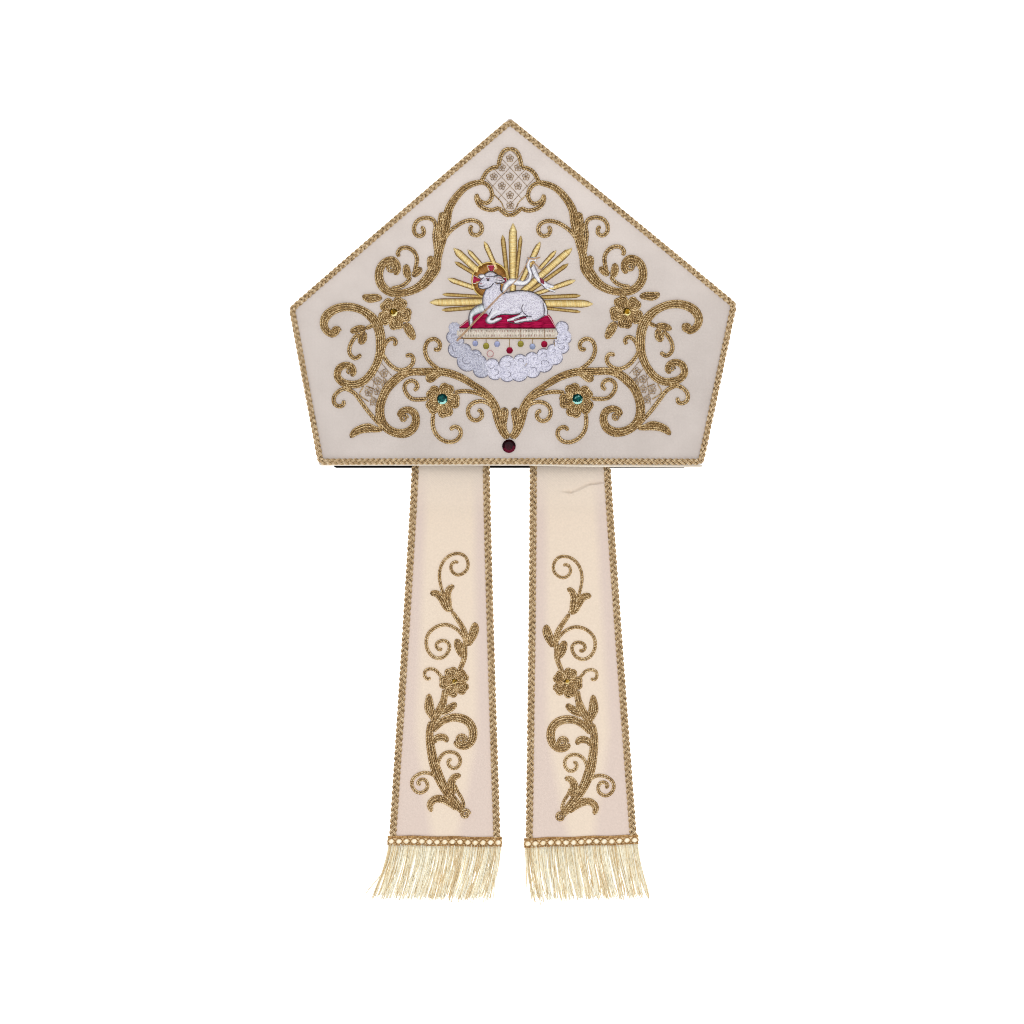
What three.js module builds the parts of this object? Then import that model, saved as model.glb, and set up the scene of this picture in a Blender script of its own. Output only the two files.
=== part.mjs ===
// Bishop's mitre, folded flat and lying on its back, as it is stored: two stiffened cloth panels
// sewn together along their sides, a soft gusset folded between the peaks, a black sweatband round
// the brow, and two fringed lappets that come out from under the front panel.
// Millimetres. X runs across the mitre, Y from the fringe to the peak, Z up out of the front panel.
// The shapes are worked out with Y = 0 at the brow edge; the group then centres the whole object.
import * as THREE from "three";

// ---------------------------------------------------------------- driving dimensions
const BROW_HALF = 147.5; // half the brow edge
const CORNER_HALF = 173; // half the width across the side corners
const CORNER_Y = 123; // the side corners' height above the brow edge
const PEAK_Y = 269; // the peak's height above the brow edge
const TIP_HALF = 1.2; // the blunt tip of a panel
const GAP = 0.3; // clearance between pieces that touch

const PANEL_THICK = 2.5; // cloth over a stiffener
const BROW_RISE = 28; // how far the front panel bows up in the middle of the brow
const PEAK_RISE = 16; // the same at the peak
const BRAID = { width: 6.3, thick: 1.4, overhang: 0.6 };

const BAND = { thick: 1, height: 28, half: 136, backLow: -2.2, frontLow: 0.6 };
const GUSSET = { thick: 1, half: 156, edgeInset: 4, foldY: 119, foldSag: 9, foldRound: 6 };

const LAPPET = {
  thick: 1.6,
  innerY: 16, // the sewn end, inside the brow
  endY: -294, // the cut end, under the fringe heading
  topHalf: 31,
  endHalf: 42.5,
  flare: 1.2, // exponent of the widening
  dropFrom: -4, // where the lappet starts down to the surface that it lies on
  dropTo: -34,
};
const HEADING = { fromY: -289.5, toY: -297, thick: 1.5, overhang: 1.8 };
const FRINGE = { fromY: -294.6, toY: -340, thick: 1.4, grow: 3.4 };

// One row for each lappet: its centre line at the brow and at its end, and the fringe's sideways lean.
const LAPPETS = [
  { side: "left", browX: -47, endX: -51, lean: -13.5, stoneX: -43.5, innerEdge: 1 },
  { side: "right", browX: 46.5, endX: 54.5, lean: 6, stoneX: 45, innerEdge: -1 },
];

// One row for each stone of the front panel.
const FRONT_STONES = [
  { name: "ruby_stone", x: -0.8, y: 14.4, radius: 5.3, height: 3.6, facets: 16, cut: "ruby" },
  { name: "emerald_stone_left", x: -52.5, y: 51.2, radius: 4.3, height: 3, facets: 12, cut: "emerald" },
  { name: "emerald_stone_right", x: 52.5, y: 51.2, radius: 4.3, height: 3, facets: 12, cut: "emerald" },
  { name: "topaz_stone_left", x: -90.5, y: 118.8, radius: 3.3, height: 2.4, facets: 12, cut: "topaz" },
  { name: "topaz_stone_right", x: 91.2, y: 119.2, radius: 3.3, height: 2.4, facets: 12, cut: "topaz" },
];
const LAPPET_STONE = { y: -169, radius: 2.3, height: 1.9, facets: 10 };

// Heights of the stack, from the surface that the mitre lies on.
const BACK_Z = BRAID.thick + GAP;
const BACK_TOP = BACK_Z + PANEL_THICK;
const BAND_Z = BACK_TOP + GAP;
const LAPPET_SEAT_Z = BAND_Z + BAND.thick + GAP;
const SEAM_Z = BACK_TOP + GAP + PANEL_THICK; // outer face of the front panel at the side seams

// ---------------------------------------------------------------- materials
const finish = (color, roughness, metalness = 0) =>
  new THREE.MeshStandardMaterial({ color, roughness, metalness });
const IVORY_CLOTH = finish(0xe2d5c6, 0.85);
const LINING_CLOTH = finish(0xe8dfd0, 0.8);
const GOLD_BRAID = finish(0xb8955a, 0.5, 0.4);
const GOLD_FRINGE = finish(0xe6cf9c, 0.5, 0.2);
const BLACK_LEATHER = finish(0x14110f, 0.6);
const STONES = {
  ruby: finish(0x5a0f22, 0.1),
  emerald: finish(0x0f7a5e, 0.1),
  topaz: finish(0xd9b53a, 0.1),
};

// ---------------------------------------------------------------- geometry helpers
const lerp = THREE.MathUtils.lerp;
const smooth = (t) => THREE.MathUtils.smoothstep(t, 0, 1);
const point = (x, y, z) => new THREE.Vector3(x, y, z);

const geometry = (vertices, indices) => {
  const made = new THREE.BufferGeometry();
  const numbers = vertices.flatMap((v) => v.toArray());
  made.setAttribute("position", new THREE.Float32BufferAttribute(numbers, 3));
  made.setIndex(indices);
  made.computeVertexNormals();
  return made;
};

// A closed solid between two facing grids: upper(u, v) over lower(u, v), with u and v from 0 to 1.
// us and vs are the grid's stations. With loop true, u runs round and the last column joins the first.
const solidBetween = (us, vs, upper, lower, loop = false) => {
  const columns = us.length;
  const rows = vs.length;
  const grid = (surface) => vs.flatMap((v) => us.map((u) => surface(u, v)));
  const vertices = [...grid(upper), ...grid(lower)];
  const half = columns * rows;
  const at = (i, j, layer) => layer * half + j * columns + (i % columns);
  const indices = [];
  const quad = (a, b, c, d) => indices.push(a, b, c, a, c, d);
  const lastColumn = loop ? columns : columns - 1;
  for (let j = 0; j < rows - 1; j++) {
    for (let i = 0; i < lastColumn; i++) {
      quad(at(i, j, 0), at(i + 1, j, 0), at(i + 1, j + 1, 0), at(i, j + 1, 0));
      quad(at(i, j, 1), at(i, j + 1, 1), at(i + 1, j + 1, 1), at(i + 1, j, 1));
    }
  }
  for (let i = 0; i < lastColumn; i++) {
    quad(at(i, 0, 1), at(i + 1, 0, 1), at(i + 1, 0, 0), at(i, 0, 0));
    quad(at(i, rows - 1, 0), at(i + 1, rows - 1, 0), at(i + 1, rows - 1, 1), at(i, rows - 1, 1));
  }
  for (let j = 0; !loop && j < rows - 1; j++) {
    quad(at(0, j, 0), at(0, j + 1, 0), at(0, j + 1, 1), at(0, j, 1));
    quad(at(columns - 1, j, 1), at(columns - 1, j + 1, 1), at(columns - 1, j + 1, 0), at(columns - 1, j, 0));
  }
  return geometry(vertices, indices);
};

const stations = (steps) => Array.from({ length: steps + 1 }, (_, i) => i / steps);

const mitre = new THREE.Group();
const add = (name, made, material) => {
  const mesh = new THREE.Mesh(made, material);
  mesh.name = name;
  mitre.add(mesh);
  return mesh;
};

// ---------------------------------------------------------------- the outline and the front's bow
// The pentagon's corners, anticlockwise from the brow's left end, moved in by an inset.
const CORNER_POINTS = [
  [-BROW_HALF, 0],
  [BROW_HALF, 0],
  [CORNER_HALF, CORNER_Y],
  [0, PEAK_Y],
  [-CORNER_HALF, CORNER_Y],
].map(([x, y]) => new THREE.Vector2(x, y));

const insetOutline = (inset) =>
  CORNER_POINTS.map((corner, i) => {
    const before = CORNER_POINTS[(i + 4) % 5];
    const after = CORNER_POINTS[(i + 1) % 5];
    const along = corner.clone().sub(before).normalize();
    const onward = after.clone().sub(corner).normalize();
    const inwardA = new THREE.Vector2(-along.y, along.x);
    const inwardB = new THREE.Vector2(-onward.y, onward.x);
    const bisector = inwardA.add(inwardB).normalize();
    const reach = inset / bisector.dot(new THREE.Vector2(-onward.y, onward.x));
    return corner.clone().addScaledVector(bisector, reach);
  });

const seamHalf = (y) => lerp(BROW_HALF, CORNER_HALF, y / CORNER_Y);
const rise = (y) => lerp(BROW_RISE, PEAK_RISE, y / PEAK_Y);

// The front panel's outer face: a parabola across the mitre that meets the back at the side seams.
const frontZ = (x, y) => SEAM_Z + rise(y) * (1 - (x / seamHalf(y)) ** 2);

const NUDGE = 0.01;
const frontNormal = (x, y) =>
  point(
    (frontZ(x - NUDGE, y) - frontZ(x + NUDGE, y)) / (2 * NUDGE),
    (frontZ(x, y - NUDGE) - frontZ(x, y + NUDGE)) / (2 * NUDGE),
    1,
  ).normalize();

// The point over (x, y) at a height off the front panel's outer face, measured square to it.
const onFront = (x, y, height) => point(x, y, frontZ(x, y)).addScaledVector(frontNormal(x, y), height);

// The height, straight under (x, y), of a surface that lies a depth inside the outer face.
const underFront = (x, y, depth) => frontZ(x, y) - depth / frontNormal(x, y).z;

// ---------------------------------------------------------------- panels
// Each panel stops just inside its braid's outer edge.
const PANEL_OUTLINE = insetOutline(BRAID.overhang);

const frontPanel = () => {
  const [, browEnd, sideCorner, peak] = PANEL_OUTLINE;
  const LOWER_ROWS = 6;
  const UPPER_ROWS = 9;
  const ACROSS = 24;
  // v counts rows of the lower part and then of the upper, so that a row falls on the side corners.
  const vs = Array.from({ length: LOWER_ROWS + UPPER_ROWS + 1 }, (_, i) => i);
  const place = (u, v) => {
    const low = v <= LOWER_ROWS;
    const t = low ? v / LOWER_ROWS : (v - LOWER_ROWS) / UPPER_ROWS;
    const y = low ? lerp(browEnd.y, sideCorner.y, t) : lerp(sideCorner.y, peak.y, t);
    const halfWidth = low ? lerp(browEnd.x, sideCorner.x, t) : lerp(sideCorner.x, TIP_HALF, t);
    return [lerp(-halfWidth, halfWidth, u), y];
  };
  return solidBetween(
    stations(ACROSS),
    vs,
    (u, v) => onFront(...place(u, v), 0),
    (u, v) => onFront(...place(u, v), -PANEL_THICK),
  );
};

const backPanel = () => {
  const outline = new THREE.Shape(PANEL_OUTLINE);
  const slab = new THREE.ExtrudeGeometry(outline, { depth: PANEL_THICK, bevelEnabled: false });
  return slab.translate(0, 0, BACK_Z);
};

add("front_panel", frontPanel(), IVORY_CLOTH);
add("back_panel", backPanel(), IVORY_CLOTH);

// ---------------------------------------------------------------- braid along the panels' edges
// One run for each edge, mitred at the corners, as the sewn strip is folded there.
const RUNS = [
  { name: "brow", from: 0, steps: 24 },
  { name: "right_side", from: 1, steps: 4 },
  { name: "right_slope", from: 2, steps: 12 },
  { name: "left_slope", from: 3, steps: 12 },
  { name: "left_side", from: 4, steps: 4 },
];
const OUTER_EDGE = insetOutline(0);
const INNER_EDGE = insetOutline(BRAID.width);

const braidRun = ({ from, steps }, upper, lower) => {
  const to = (from + 1) % 5;
  const trim = GAP / 2 / OUTER_EDGE[from].distanceTo(OUTER_EDGE[to]);
  const place = (u, v) => {
    const along = lerp(trim, 1 - trim, u);
    const outside = OUTER_EDGE[from].clone().lerp(OUTER_EDGE[to], along);
    const inside = INNER_EDGE[from].clone().lerp(INNER_EDGE[to], along);
    return outside.lerp(inside, v);
  };
  return solidBetween(
    stations(steps),
    stations(1),
    (u, v) => upper(place(u, v)),
    (u, v) => lower(place(u, v)),
  );
};

for (const run of RUNS) {
  const front = braidRun(
    run,
    ({ x, y }) => onFront(x, y, GAP + BRAID.thick),
    ({ x, y }) => onFront(x, y, GAP),
  );
  const back = braidRun(
    { ...run, steps: 1 },
    ({ x, y }) => point(x, y, BRAID.thick),
    ({ x, y }) => point(x, y, 0),
  );
  add(`front_braid_${run.name}`, front, GOLD_BRAID);
  add(`back_braid_${run.name}`, back, GOLD_BRAID);
}

// ---------------------------------------------------------------- sweatband
// A closed loop inside the brow: flat along the back, round a tight bend, and back under the front.
const sweatband = () => {
  const FRONT_STEPS = 22;
  const BEND_STEPS = 5;
  const backZ = BAND_Z + BAND.thick / 2;
  const depth = PANEL_THICK + GAP + BAND.thick / 2;
  // The loop's middle line at height y: [x, z, share], with share 0 on the back and 1 on the front.
  const loopAt = (y) => {
    const line = [];
    const topZ = underFront(BAND.half, y, depth);
    const radius = (topZ - backZ) / 2;
    const bend = (side) =>
      stations(BEND_STEPS).map((t) => {
        const angle = Math.PI * (t - 0.5);
        return [side * (BAND.half + radius * Math.cos(angle)), backZ + radius + radius * Math.sin(angle), t];
      });
    line.push(...bend(1));
    for (let i = 1; i < FRONT_STEPS; i++) {
      const x = lerp(BAND.half, -BAND.half, i / FRONT_STEPS);
      line.push([x, underFront(x, y, depth), 1]);
    }
    line.push(...bend(-1).reverse());
    return line;
  };
  const count = loopAt(0).length;
  const wall = (offset) => (u, v) => {
    const i = Math.round(u * count);
    const share = loopAt(0)[i][2];
    const y = lerp(lerp(BAND.backLow, BAND.frontLow, share), BAND.height, v);
    const line = loopAt(y);
    const [x, z] = line[i];
    const [xa, za] = line[(i + count - 1) % count];
    const [xb, zb] = line[(i + 1) % count];
    const outward = point(zb - za, 0, xa - xb).normalize();
    return point(x, y, z).addScaledVector(outward, offset);
  };
  const us = Array.from({ length: count }, (_, i) => i / count);
  return solidBetween(us, stations(2), wall(-BAND.thick / 2), wall(BAND.thick / 2), true);
};
add("sweatband", sweatband(), BLACK_LEATHER);

// ---------------------------------------------------------------- gusset between the peaks
// Soft cloth sewn inside both pairs of slopes, which folds down between the panels in a valley.
const gusset = () => {
  const ACROSS = 28;
  const PROFILE = 16;
  const STRAIGHT = 0.4; // the share of the profile that lies against each panel
  const backZ = BAND_Z + GUSSET.thick / 2;
  const place = (u, t) => {
    const x = lerp(-GUSSET.half, GUSSET.half, u);
    const edgeY = lerp(PEAK_Y, CORNER_Y, Math.abs(x) / CORNER_HALF) - GUSSET.edgeInset;
    const foldY = GUSSET.foldY - GUSSET.foldSag * (1 - (x / GUSSET.half) ** 2);
    const frontLayerZ = (y) => underFront(x, y, PANEL_THICK + GAP + GUSSET.thick / 2);
    const bendY = foldY + GUSSET.foldRound;
    if (t < STRAIGHT) {
      const y = lerp(edgeY, bendY, t / STRAIGHT);
      return point(x, y, frontLayerZ(y));
    }
    if (t > 1 - STRAIGHT) {
      return point(x, lerp(bendY, edgeY, (t - 1 + STRAIGHT) / STRAIGHT), backZ);
    }
    const angle = (Math.PI * (t - STRAIGHT)) / (1 - 2 * STRAIGHT);
    const middle = (frontLayerZ(bendY) + backZ) / 2;
    const reach = (frontLayerZ(bendY) - backZ) / 2;
    return point(x, bendY - GUSSET.foldRound * Math.sin(angle), middle + reach * Math.cos(angle));
  };
  // The valley is the same along x apart from its slopes, so its wall is offset in the y-z plane.
  const wall = (offset) => (u, t) => {
    const step = 0.01;
    const ahead = place(u, Math.min(t + step, 1));
    const behind = place(u, Math.max(t - step, 0));
    const normal = point(0, ahead.z - behind.z, behind.y - ahead.y).normalize();
    return place(u, t).addScaledVector(normal, offset);
  };
  return solidBetween(stations(ACROSS), stations(PROFILE), wall(-GUSSET.thick / 2), wall(GUSSET.thick / 2));
};
add("crown_gusset", gusset(), LINING_CLOTH);

// ---------------------------------------------------------------- lappets, their braids and fringes
const lappetHalf = (y) => {
  const t = Math.max(0, -y / -LAPPET.endY);
  return lerp(LAPPET.topHalf, LAPPET.endHalf, t ** LAPPET.flare);
};
const lappetZ = (y) => LAPPET_SEAT_Z * smooth((y - LAPPET.dropTo) / (LAPPET.dropFrom - LAPPET.dropTo));

// A point on a lappet: y down its length, across from -1 to 1 of its half width, out past its edge by
// extra millimetres, and up from its underside.
const onLappet = (lappet, y, across, extra, up) => {
  const slant = (lappet.endX - lappet.browX) / LAPPET.endY;
  const middle = lappet.browX + slant * y;
  const x = across * lappetHalf(y) + Math.sign(across) * extra;
  return point(middle + x, y - slant * x, lappetZ(y) + up);
};

// Stations down a lappet: close together over the drop, and far apart where it lies flat.
const LAPPET_ROWS = [16, 4, -4, -9, -14, -19, -24, -29, -34, -80, -130, -180, -230, -265, LAPPET.endY];
const LAPPET_BRAID_END = HEADING.fromY + GAP;
const LAPPET_TOP = LAPPET.thick + GAP;

const lappetCloth = (lappet) =>
  solidBetween(
    LAPPET_ROWS,
    stations(1),
    (y, v) => onLappet(lappet, y, 2 * v - 1, -BRAID.overhang, LAPPET.thick),
    (y, v) => onLappet(lappet, y, 2 * v - 1, -BRAID.overhang, 0),
  );

const lappetBraid = (lappet, edge) => {
  const rows = [...LAPPET_ROWS.slice(0, -1), LAPPET_BRAID_END];
  const inset = (v) => -BRAID.width * (edge > 0 ? 1 - v : v);
  return solidBetween(
    rows,
    stations(1),
    (y, v) => onLappet(lappet, y, edge, inset(v), LAPPET_TOP + BRAID.thick),
    (y, v) => onLappet(lappet, y, edge, inset(v), LAPPET_TOP),
  );
};

const fringeHeading = (lappet) =>
  solidBetween(
    [HEADING.fromY, HEADING.toY],
    stations(1),
    (y, v) => onLappet(lappet, y, 2 * v - 1, HEADING.overhang, LAPPET_TOP + HEADING.thick),
    (y, v) => onLappet(lappet, y, 2 * v - 1, HEADING.overhang, LAPPET_TOP),
  );

// The outer form of the hanging threads, which spread and lean as they lie.
const fringe = (lappet) => {
  const place = (y, v, up) => {
    const t = (y - FRINGE.fromY) / (FRINGE.toY - FRINGE.fromY);
    const at = onLappet(lappet, y, 2 * v - 1, HEADING.overhang + FRINGE.grow * t, up);
    return at.add(point(lappet.lean * t, 0, 0));
  };
  return solidBetween(
    stations(3).map((t) => lerp(FRINGE.fromY, FRINGE.toY, t)),
    stations(1),
    (y, v) => place(y, v, FRINGE.thick),
    (y, v) => place(y, v, 0),
  );
};

for (const lappet of LAPPETS) {
  add(`lappet_${lappet.side}`, lappetCloth(lappet), IVORY_CLOTH);
  add(`lappet_${lappet.side}_braid_inner`, lappetBraid(lappet, lappet.innerEdge), GOLD_BRAID);
  add(`lappet_${lappet.side}_braid_outer`, lappetBraid(lappet, -lappet.innerEdge), GOLD_BRAID);
  add(`fringe_heading_${lappet.side}`, fringeHeading(lappet), GOLD_BRAID);
  add(`fringe_${lappet.side}`, fringe(lappet), GOLD_FRINGE);
}

// ---------------------------------------------------------------- stones
// A flat-backed stone: base, girdle, crown and table, turned about its own axis.
const stone = ({ radius, height, facets }) => {
  const profile = [
    [0, 0],
    [radius * 0.92, 0],
    [radius, height * 0.28],
    [radius * 0.62, height],
    [0, height],
  ].map(([r, z]) => new THREE.Vector2(r, z));
  return new THREE.LatheGeometry(profile, facets).rotateX(Math.PI / 2);
};

for (const row of FRONT_STONES) {
  const mesh = add(row.name, stone(row), STONES[row.cut]);
  mesh.position.copy(onFront(row.x, row.y, GAP));
  mesh.quaternion.setFromUnitVectors(point(0, 0, 1), frontNormal(row.x, row.y));
}
for (const lappet of LAPPETS) {
  const mesh = add(`lappet_stone_${lappet.side}`, stone(LAPPET_STONE), STONES.topaz);
  mesh.position.set(lappet.stoneX, LAPPET_STONE.y, LAPPET_TOP);
}

// The origin is the middle of the whole object, on the surface that it lies on.
mitre.position.y = -new THREE.Box3().setFromObject(mitre).getCenter(point(0, 0, 0)).y;

export default mitre;
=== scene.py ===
"""A bishop's mitre lying flat on its back: ivory cloth, gold braid and corded scrollwork, an
embroidered lamb, glass stones, and two fringed lappets. Lengths are in millimetres on the mitre,
with x across it and y up from the brow edge, and metres() turns them into the frame."""

import math

import bpy
import numpy as np
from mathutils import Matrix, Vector


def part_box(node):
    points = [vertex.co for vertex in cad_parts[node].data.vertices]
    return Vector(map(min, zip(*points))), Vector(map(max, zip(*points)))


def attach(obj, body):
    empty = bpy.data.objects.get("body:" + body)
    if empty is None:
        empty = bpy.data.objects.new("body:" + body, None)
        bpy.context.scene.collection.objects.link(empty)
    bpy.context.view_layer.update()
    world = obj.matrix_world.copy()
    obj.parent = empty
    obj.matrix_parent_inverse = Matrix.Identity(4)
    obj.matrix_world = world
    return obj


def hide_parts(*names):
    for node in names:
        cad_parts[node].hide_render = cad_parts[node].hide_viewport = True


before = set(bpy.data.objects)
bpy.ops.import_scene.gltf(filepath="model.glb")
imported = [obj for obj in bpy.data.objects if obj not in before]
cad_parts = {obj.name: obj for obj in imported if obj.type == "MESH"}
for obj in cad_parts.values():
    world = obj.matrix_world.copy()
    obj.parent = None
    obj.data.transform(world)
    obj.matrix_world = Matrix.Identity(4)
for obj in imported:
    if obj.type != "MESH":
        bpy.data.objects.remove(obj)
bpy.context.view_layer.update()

# ================================================================ camera
# Straight above the lying mitre, with its peak up, from far enough that nothing tapers.
# Centred on the mitre and its fringes.
LENS = 200.0
SENSOR = 36.0
FRAME_WIDTH = 0.7987
camera = bpy.data.objects.new("camera", bpy.data.cameras.new("camera"))
bpy.context.scene.collection.objects.link(camera)
bpy.context.scene.camera = camera
camera.data.lens = LENS
camera.data.sensor_width = SENSOR
camera.data.clip_start = 0.1
camera.data.clip_end = 50.0
camera.location = (0.0016, -0.0005, 0.016 + FRAME_WIDTH * LENS / SENSOR)
camera.rotation_euler = (0.0, 0.0, 0.0)
bpy.context.scene.view_settings.view_transform = "Standard"
bpy.context.scene.cycles.filter_width = 1.0

# ================================================================ front panel
# The stiffened front: ivory wool cloth over buckram, bowed up off the back by the headband inside.
# Its face carries all the scrollwork, so the bow's own formula is defined here.
BROW_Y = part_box("back_braid_brow")[0][1]
BROW_LEFT = 149.8
BROW_RIGHT = 151.0
CORNER_LEFT = (173.0, 123.0)
CORNER_RIGHT = (177.6, 126.2)
PEAK_Y = 270.4
PANEL_THICK = 2.5
EDGE_INSET = 0.6
SEAM_Z = 7.0
BROW_RISE = 28.0
PEAK_RISE = 16.0
GAP = 0.3
IVORY = "#dcd1ca"
IVORY_DEEP = "#d1c6bf"


def metres(points):
    """Millimetres on the mitre to metres in the frame."""
    return np.asarray(points, float) * 0.001 + np.array([0.0, BROW_Y, 0.0])


def seam_half(x, y):
    """How far out the side seam runs at a height, on whichever side of the middle x is."""
    left = BROW_LEFT + (CORNER_LEFT[0] - BROW_LEFT) * y / CORNER_LEFT[1]
    right = BROW_RIGHT + (CORNER_RIGHT[0] - BROW_RIGHT) * y / CORNER_RIGHT[1]
    return np.where(np.asarray(x) < 0, left, right)


def front_z(x, y):
    """The bow: a parabola across, lower towards the peak and zero at the side seams."""
    rise = BROW_RISE + (PEAK_RISE - BROW_RISE) * y / PEAK_Y
    return SEAM_Z + rise * (1 - (x / seam_half(x, y)) ** 2)


def front_normal(x, y):
    """Unit normal of the bow, from its slopes over a hundredth of a millimetre."""
    d = 0.01
    dx = (front_z(x - d, y) - front_z(x + d, y)) / (2 * d)
    dy = (front_z(x, y - d) - front_z(x, y + d)) / (2 * d)
    n = np.stack([dx, dy, np.ones_like(dx)], -1)
    return n / np.linalg.norm(n, axis=-1, keepdims=True)


def on_front(x, y, h):
    """Points h above the front's face, measured square to it."""
    x, y, h = np.broadcast_arrays(np.asarray(x, float), np.asarray(y, float), np.asarray(h, float))
    n = front_normal(x, y)
    return np.stack([x, y, front_z(x, y)], -1) + n * h[..., None]


def noise(x, y, seed, size):
    """Smooth seeded waves about size millimetres long, from -1 to 1."""
    rng = np.random.default_rng(seed)
    total = 0.0
    for _ in range(6):
        angle = rng.uniform(0, 2 * math.pi)
        k = 2 * math.pi / (size * rng.uniform(0.7, 1.6))
        total = total + np.sin(k * (x * math.cos(angle) + y * math.sin(angle)) + rng.uniform(0, 6.3))
    return total / 6


def mesh_piece(name, points, faces, uvs, tint=None):
    """One object from arrays: points in millimetres, faces of one size or a list of such arrays,
    uvs and tint for each vertex. It rides on the mitre's one body."""
    groups = faces if isinstance(faces, list) else [faces]
    loops = np.concatenate([g.reshape(-1) for g in groups]).astype(np.int32)
    sizes = np.concatenate([np.full(len(g), g.shape[1]) for g in groups])
    starts = np.concatenate([[0], np.cumsum(sizes)[:-1]]).astype(np.int32)
    mesh = bpy.data.meshes.new(name)
    mesh.vertices.add(len(points))
    mesh.vertices.foreach_set("co", metres(points).astype(np.float32).ravel())
    mesh.loops.add(len(loops))
    mesh.loops.foreach_set("vertex_index", loops)
    mesh.polygons.add(len(starts))
    mesh.polygons.foreach_set("loop_start", starts)
    mesh.update(calc_edges=True)
    mesh.polygons.foreach_set("use_smooth", np.ones(len(starts), bool))
    layer = mesh.uv_layers.new(name="flat")
    layer.data.foreach_set("uv", np.asarray(uvs, np.float32)[loops].ravel())
    if tint is not None:
        attribute = mesh.attributes.new("tint", "FLOAT_COLOR", "POINT")
        opaque = np.concatenate([np.asarray(tint, float), np.ones((len(points), 1))], 1)
        attribute.data.foreach_set("color", opaque.astype(np.float32).ravel())
    obj = bpy.data.objects.new(name, mesh)
    bpy.context.scene.collection.objects.link(obj)
    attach(obj, "root")
    return obj


def grid_faces(rows, columns, loop=False):
    """Quads of a rows by columns grid of vertices, facing up where columns run to the right of rows.
    loop closes each row on itself."""
    i = np.arange(rows - 1)[:, None]
    j = np.arange(columns if loop else columns - 1)[None, :]
    k = (j + 1) % columns
    a = i * columns + j
    b = i * columns + k
    return np.stack([a, b, b + columns, a + columns], -1).reshape(-1, 4)


def slab(name, upper, lower, uvs):
    """A closed sheet between two facing grids, each rows by columns by 3, with walls at its four
    edges. The rim's vertices are shared, so the walls close it."""
    rows, columns = upper.shape[:2]
    count = rows * columns
    top = grid_faces(rows, columns)
    ids = np.arange(count).reshape(rows, columns)
    rim = np.concatenate([ids[0, :-1], ids[:-1, -1], ids[-1, :0:-1], ids[:0:-1, 0]])
    onward = np.roll(rim, -1)
    walls = np.stack([rim, rim + count, onward + count, onward], -1)
    faces = np.concatenate([top, top[:, ::-1] + count, walls])
    points = np.concatenate([upper.reshape(-1, 3), lower.reshape(-1, 3)])
    both = np.concatenate([uvs.reshape(-1, 2)] * 2)
    return mesh_piece(name, points, faces, both)


def linear(colour):
    """An sRGB hex colour as linear numbers."""
    c = np.array([int(colour[i : i + 2], 16) for i in (1, 3, 5)]) / 255
    return np.where(c <= 0.04045, c / 12.92, ((c + 0.055) / 1.055) ** 2.4)


def new_material(name):
    """A node material, with add(kind, inputs, **settings) for a node of it and shade(inputs) for its
    principled shader. An input that is a socket is linked and anything else is set as its value."""
    material = bpy.data.materials.new(name)
    material.use_nodes = True
    tree = material.node_tree
    tree.nodes.clear()

    def put(node, inputs):
        for key, value in inputs.items():
            if isinstance(value, bpy.types.NodeSocket):
                tree.links.new(value, node.inputs[key])
            else:
                node.inputs[key].default_value = value
        return node

    def add(kind, inputs=None, **settings):
        node = tree.nodes.new("ShaderNode" + kind)
        for key, value in settings.items():
            setattr(node, key, value)
        return put(node, inputs or {})

    shader = add("BsdfPrincipled")
    add("OutputMaterial", {"Surface": shader.outputs["BSDF"]})
    return material, add, lambda inputs: put(shader, inputs)


def rgba(colour):
    """An sRGB hex colour as linear numbers with full alpha."""
    return (*linear(colour), 1.0)


def ramp(add, factor, *stops):
    """A colour ramp of (position, hex colour) stops, driven by a socket."""
    node = add("ValToRGB", {"Fac": factor})
    for i, (at, colour) in enumerate(stops):
        stop = node.color_ramp.elements[i] if i < 2 else node.color_ramp.elements.new(at)
        stop.position = at
        stop.color = rgba(colour)
    return node.outputs["Color"]


def blend(add, *pairs):
    """The sum of sockets, each times its own share."""
    total = 0.0
    for socket, share in pairs:
        total = add("Math", {0: socket, 1: share, 2: total}, operation="MULTIPLY_ADD").outputs[0]
    return total


def bump(add, height, strength, distance, **over):
    """The normal of a socket's height, over another when Normal is given."""
    inputs = {"Height": height, "Strength": strength, "Distance": distance, **over}
    return add("Bump", inputs).outputs["Normal"]


def spread(add, value, low, high, to_low, to_high, **settings):
    """A socket's value taken from one range to another."""
    inputs = {"Value": value, "From Min": low, "From Max": high, "To Min": to_low, "To Max": to_high}
    return add("MapRange", inputs, **settings).outputs[0]


def cloth(name, light, deep, weave=0.55, strength=0.25, painted_brow_shade=0.0, roughness=0.82):
    """Smooth woven wool or silk: two shades mottled over the cloth, with a fine twill bump, and a
    painted shade, of the share given before roughness, that greys it a little from the peak down to
    the brow and lightens it towards the peak."""
    material, add, shade = new_material(name)
    place = add("TexCoord").outputs["Object"]
    mottle = add("TexNoise", {"Vector": place, "Scale": 28.0, "Detail": 4.0,
                              "Roughness": 0.55}).outputs["Fac"]
    fine = add("TexNoise", {"Vector": place, "Scale": 900.0, "Detail": 2.0}).outputs["Fac"]
    colour = ramp(add, blend(add, (mottle, 0.72), (fine, 0.28)), (0.36, deep), (0.64, light))
    threads = {"Vector": place, "Scale": 1000.0 / weave / 2 / 3.14, "Distortion": 1.2, "Detail": 1.0}
    warp, weft = [add("TexWave", threads, bands_direction=axis).outputs["Fac"] for axis in "XY"]
    crossed = add("Math", {0: warp, 1: weft}, operation="MULTIPLY").outputs[0]
    twill = bump(add, crossed, strength, 0.00025)
    height = add("SeparateXYZ", {"Vector": place}).outputs["Y"]
    # Painted shade: the cloth is darker towards the brow and lighter towards the peak.
    painted_height_shade = spread(add, height, 0.11, 0.27, 1.0 - painted_brow_shade, 1.0 + painted_brow_shade, interpolation_type="SMOOTHSTEP")
    shade({"Base Color": add("HueSaturation", {"Color": colour, "Value": painted_height_shade}).outputs["Color"],
           "Normal": bump(add, mottle, 0.18, 0.002, Normal=twill),
           "Roughness": roughness, "Sheen Weight": 0.15, "Sheen Roughness": 0.45})
    return material


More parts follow.
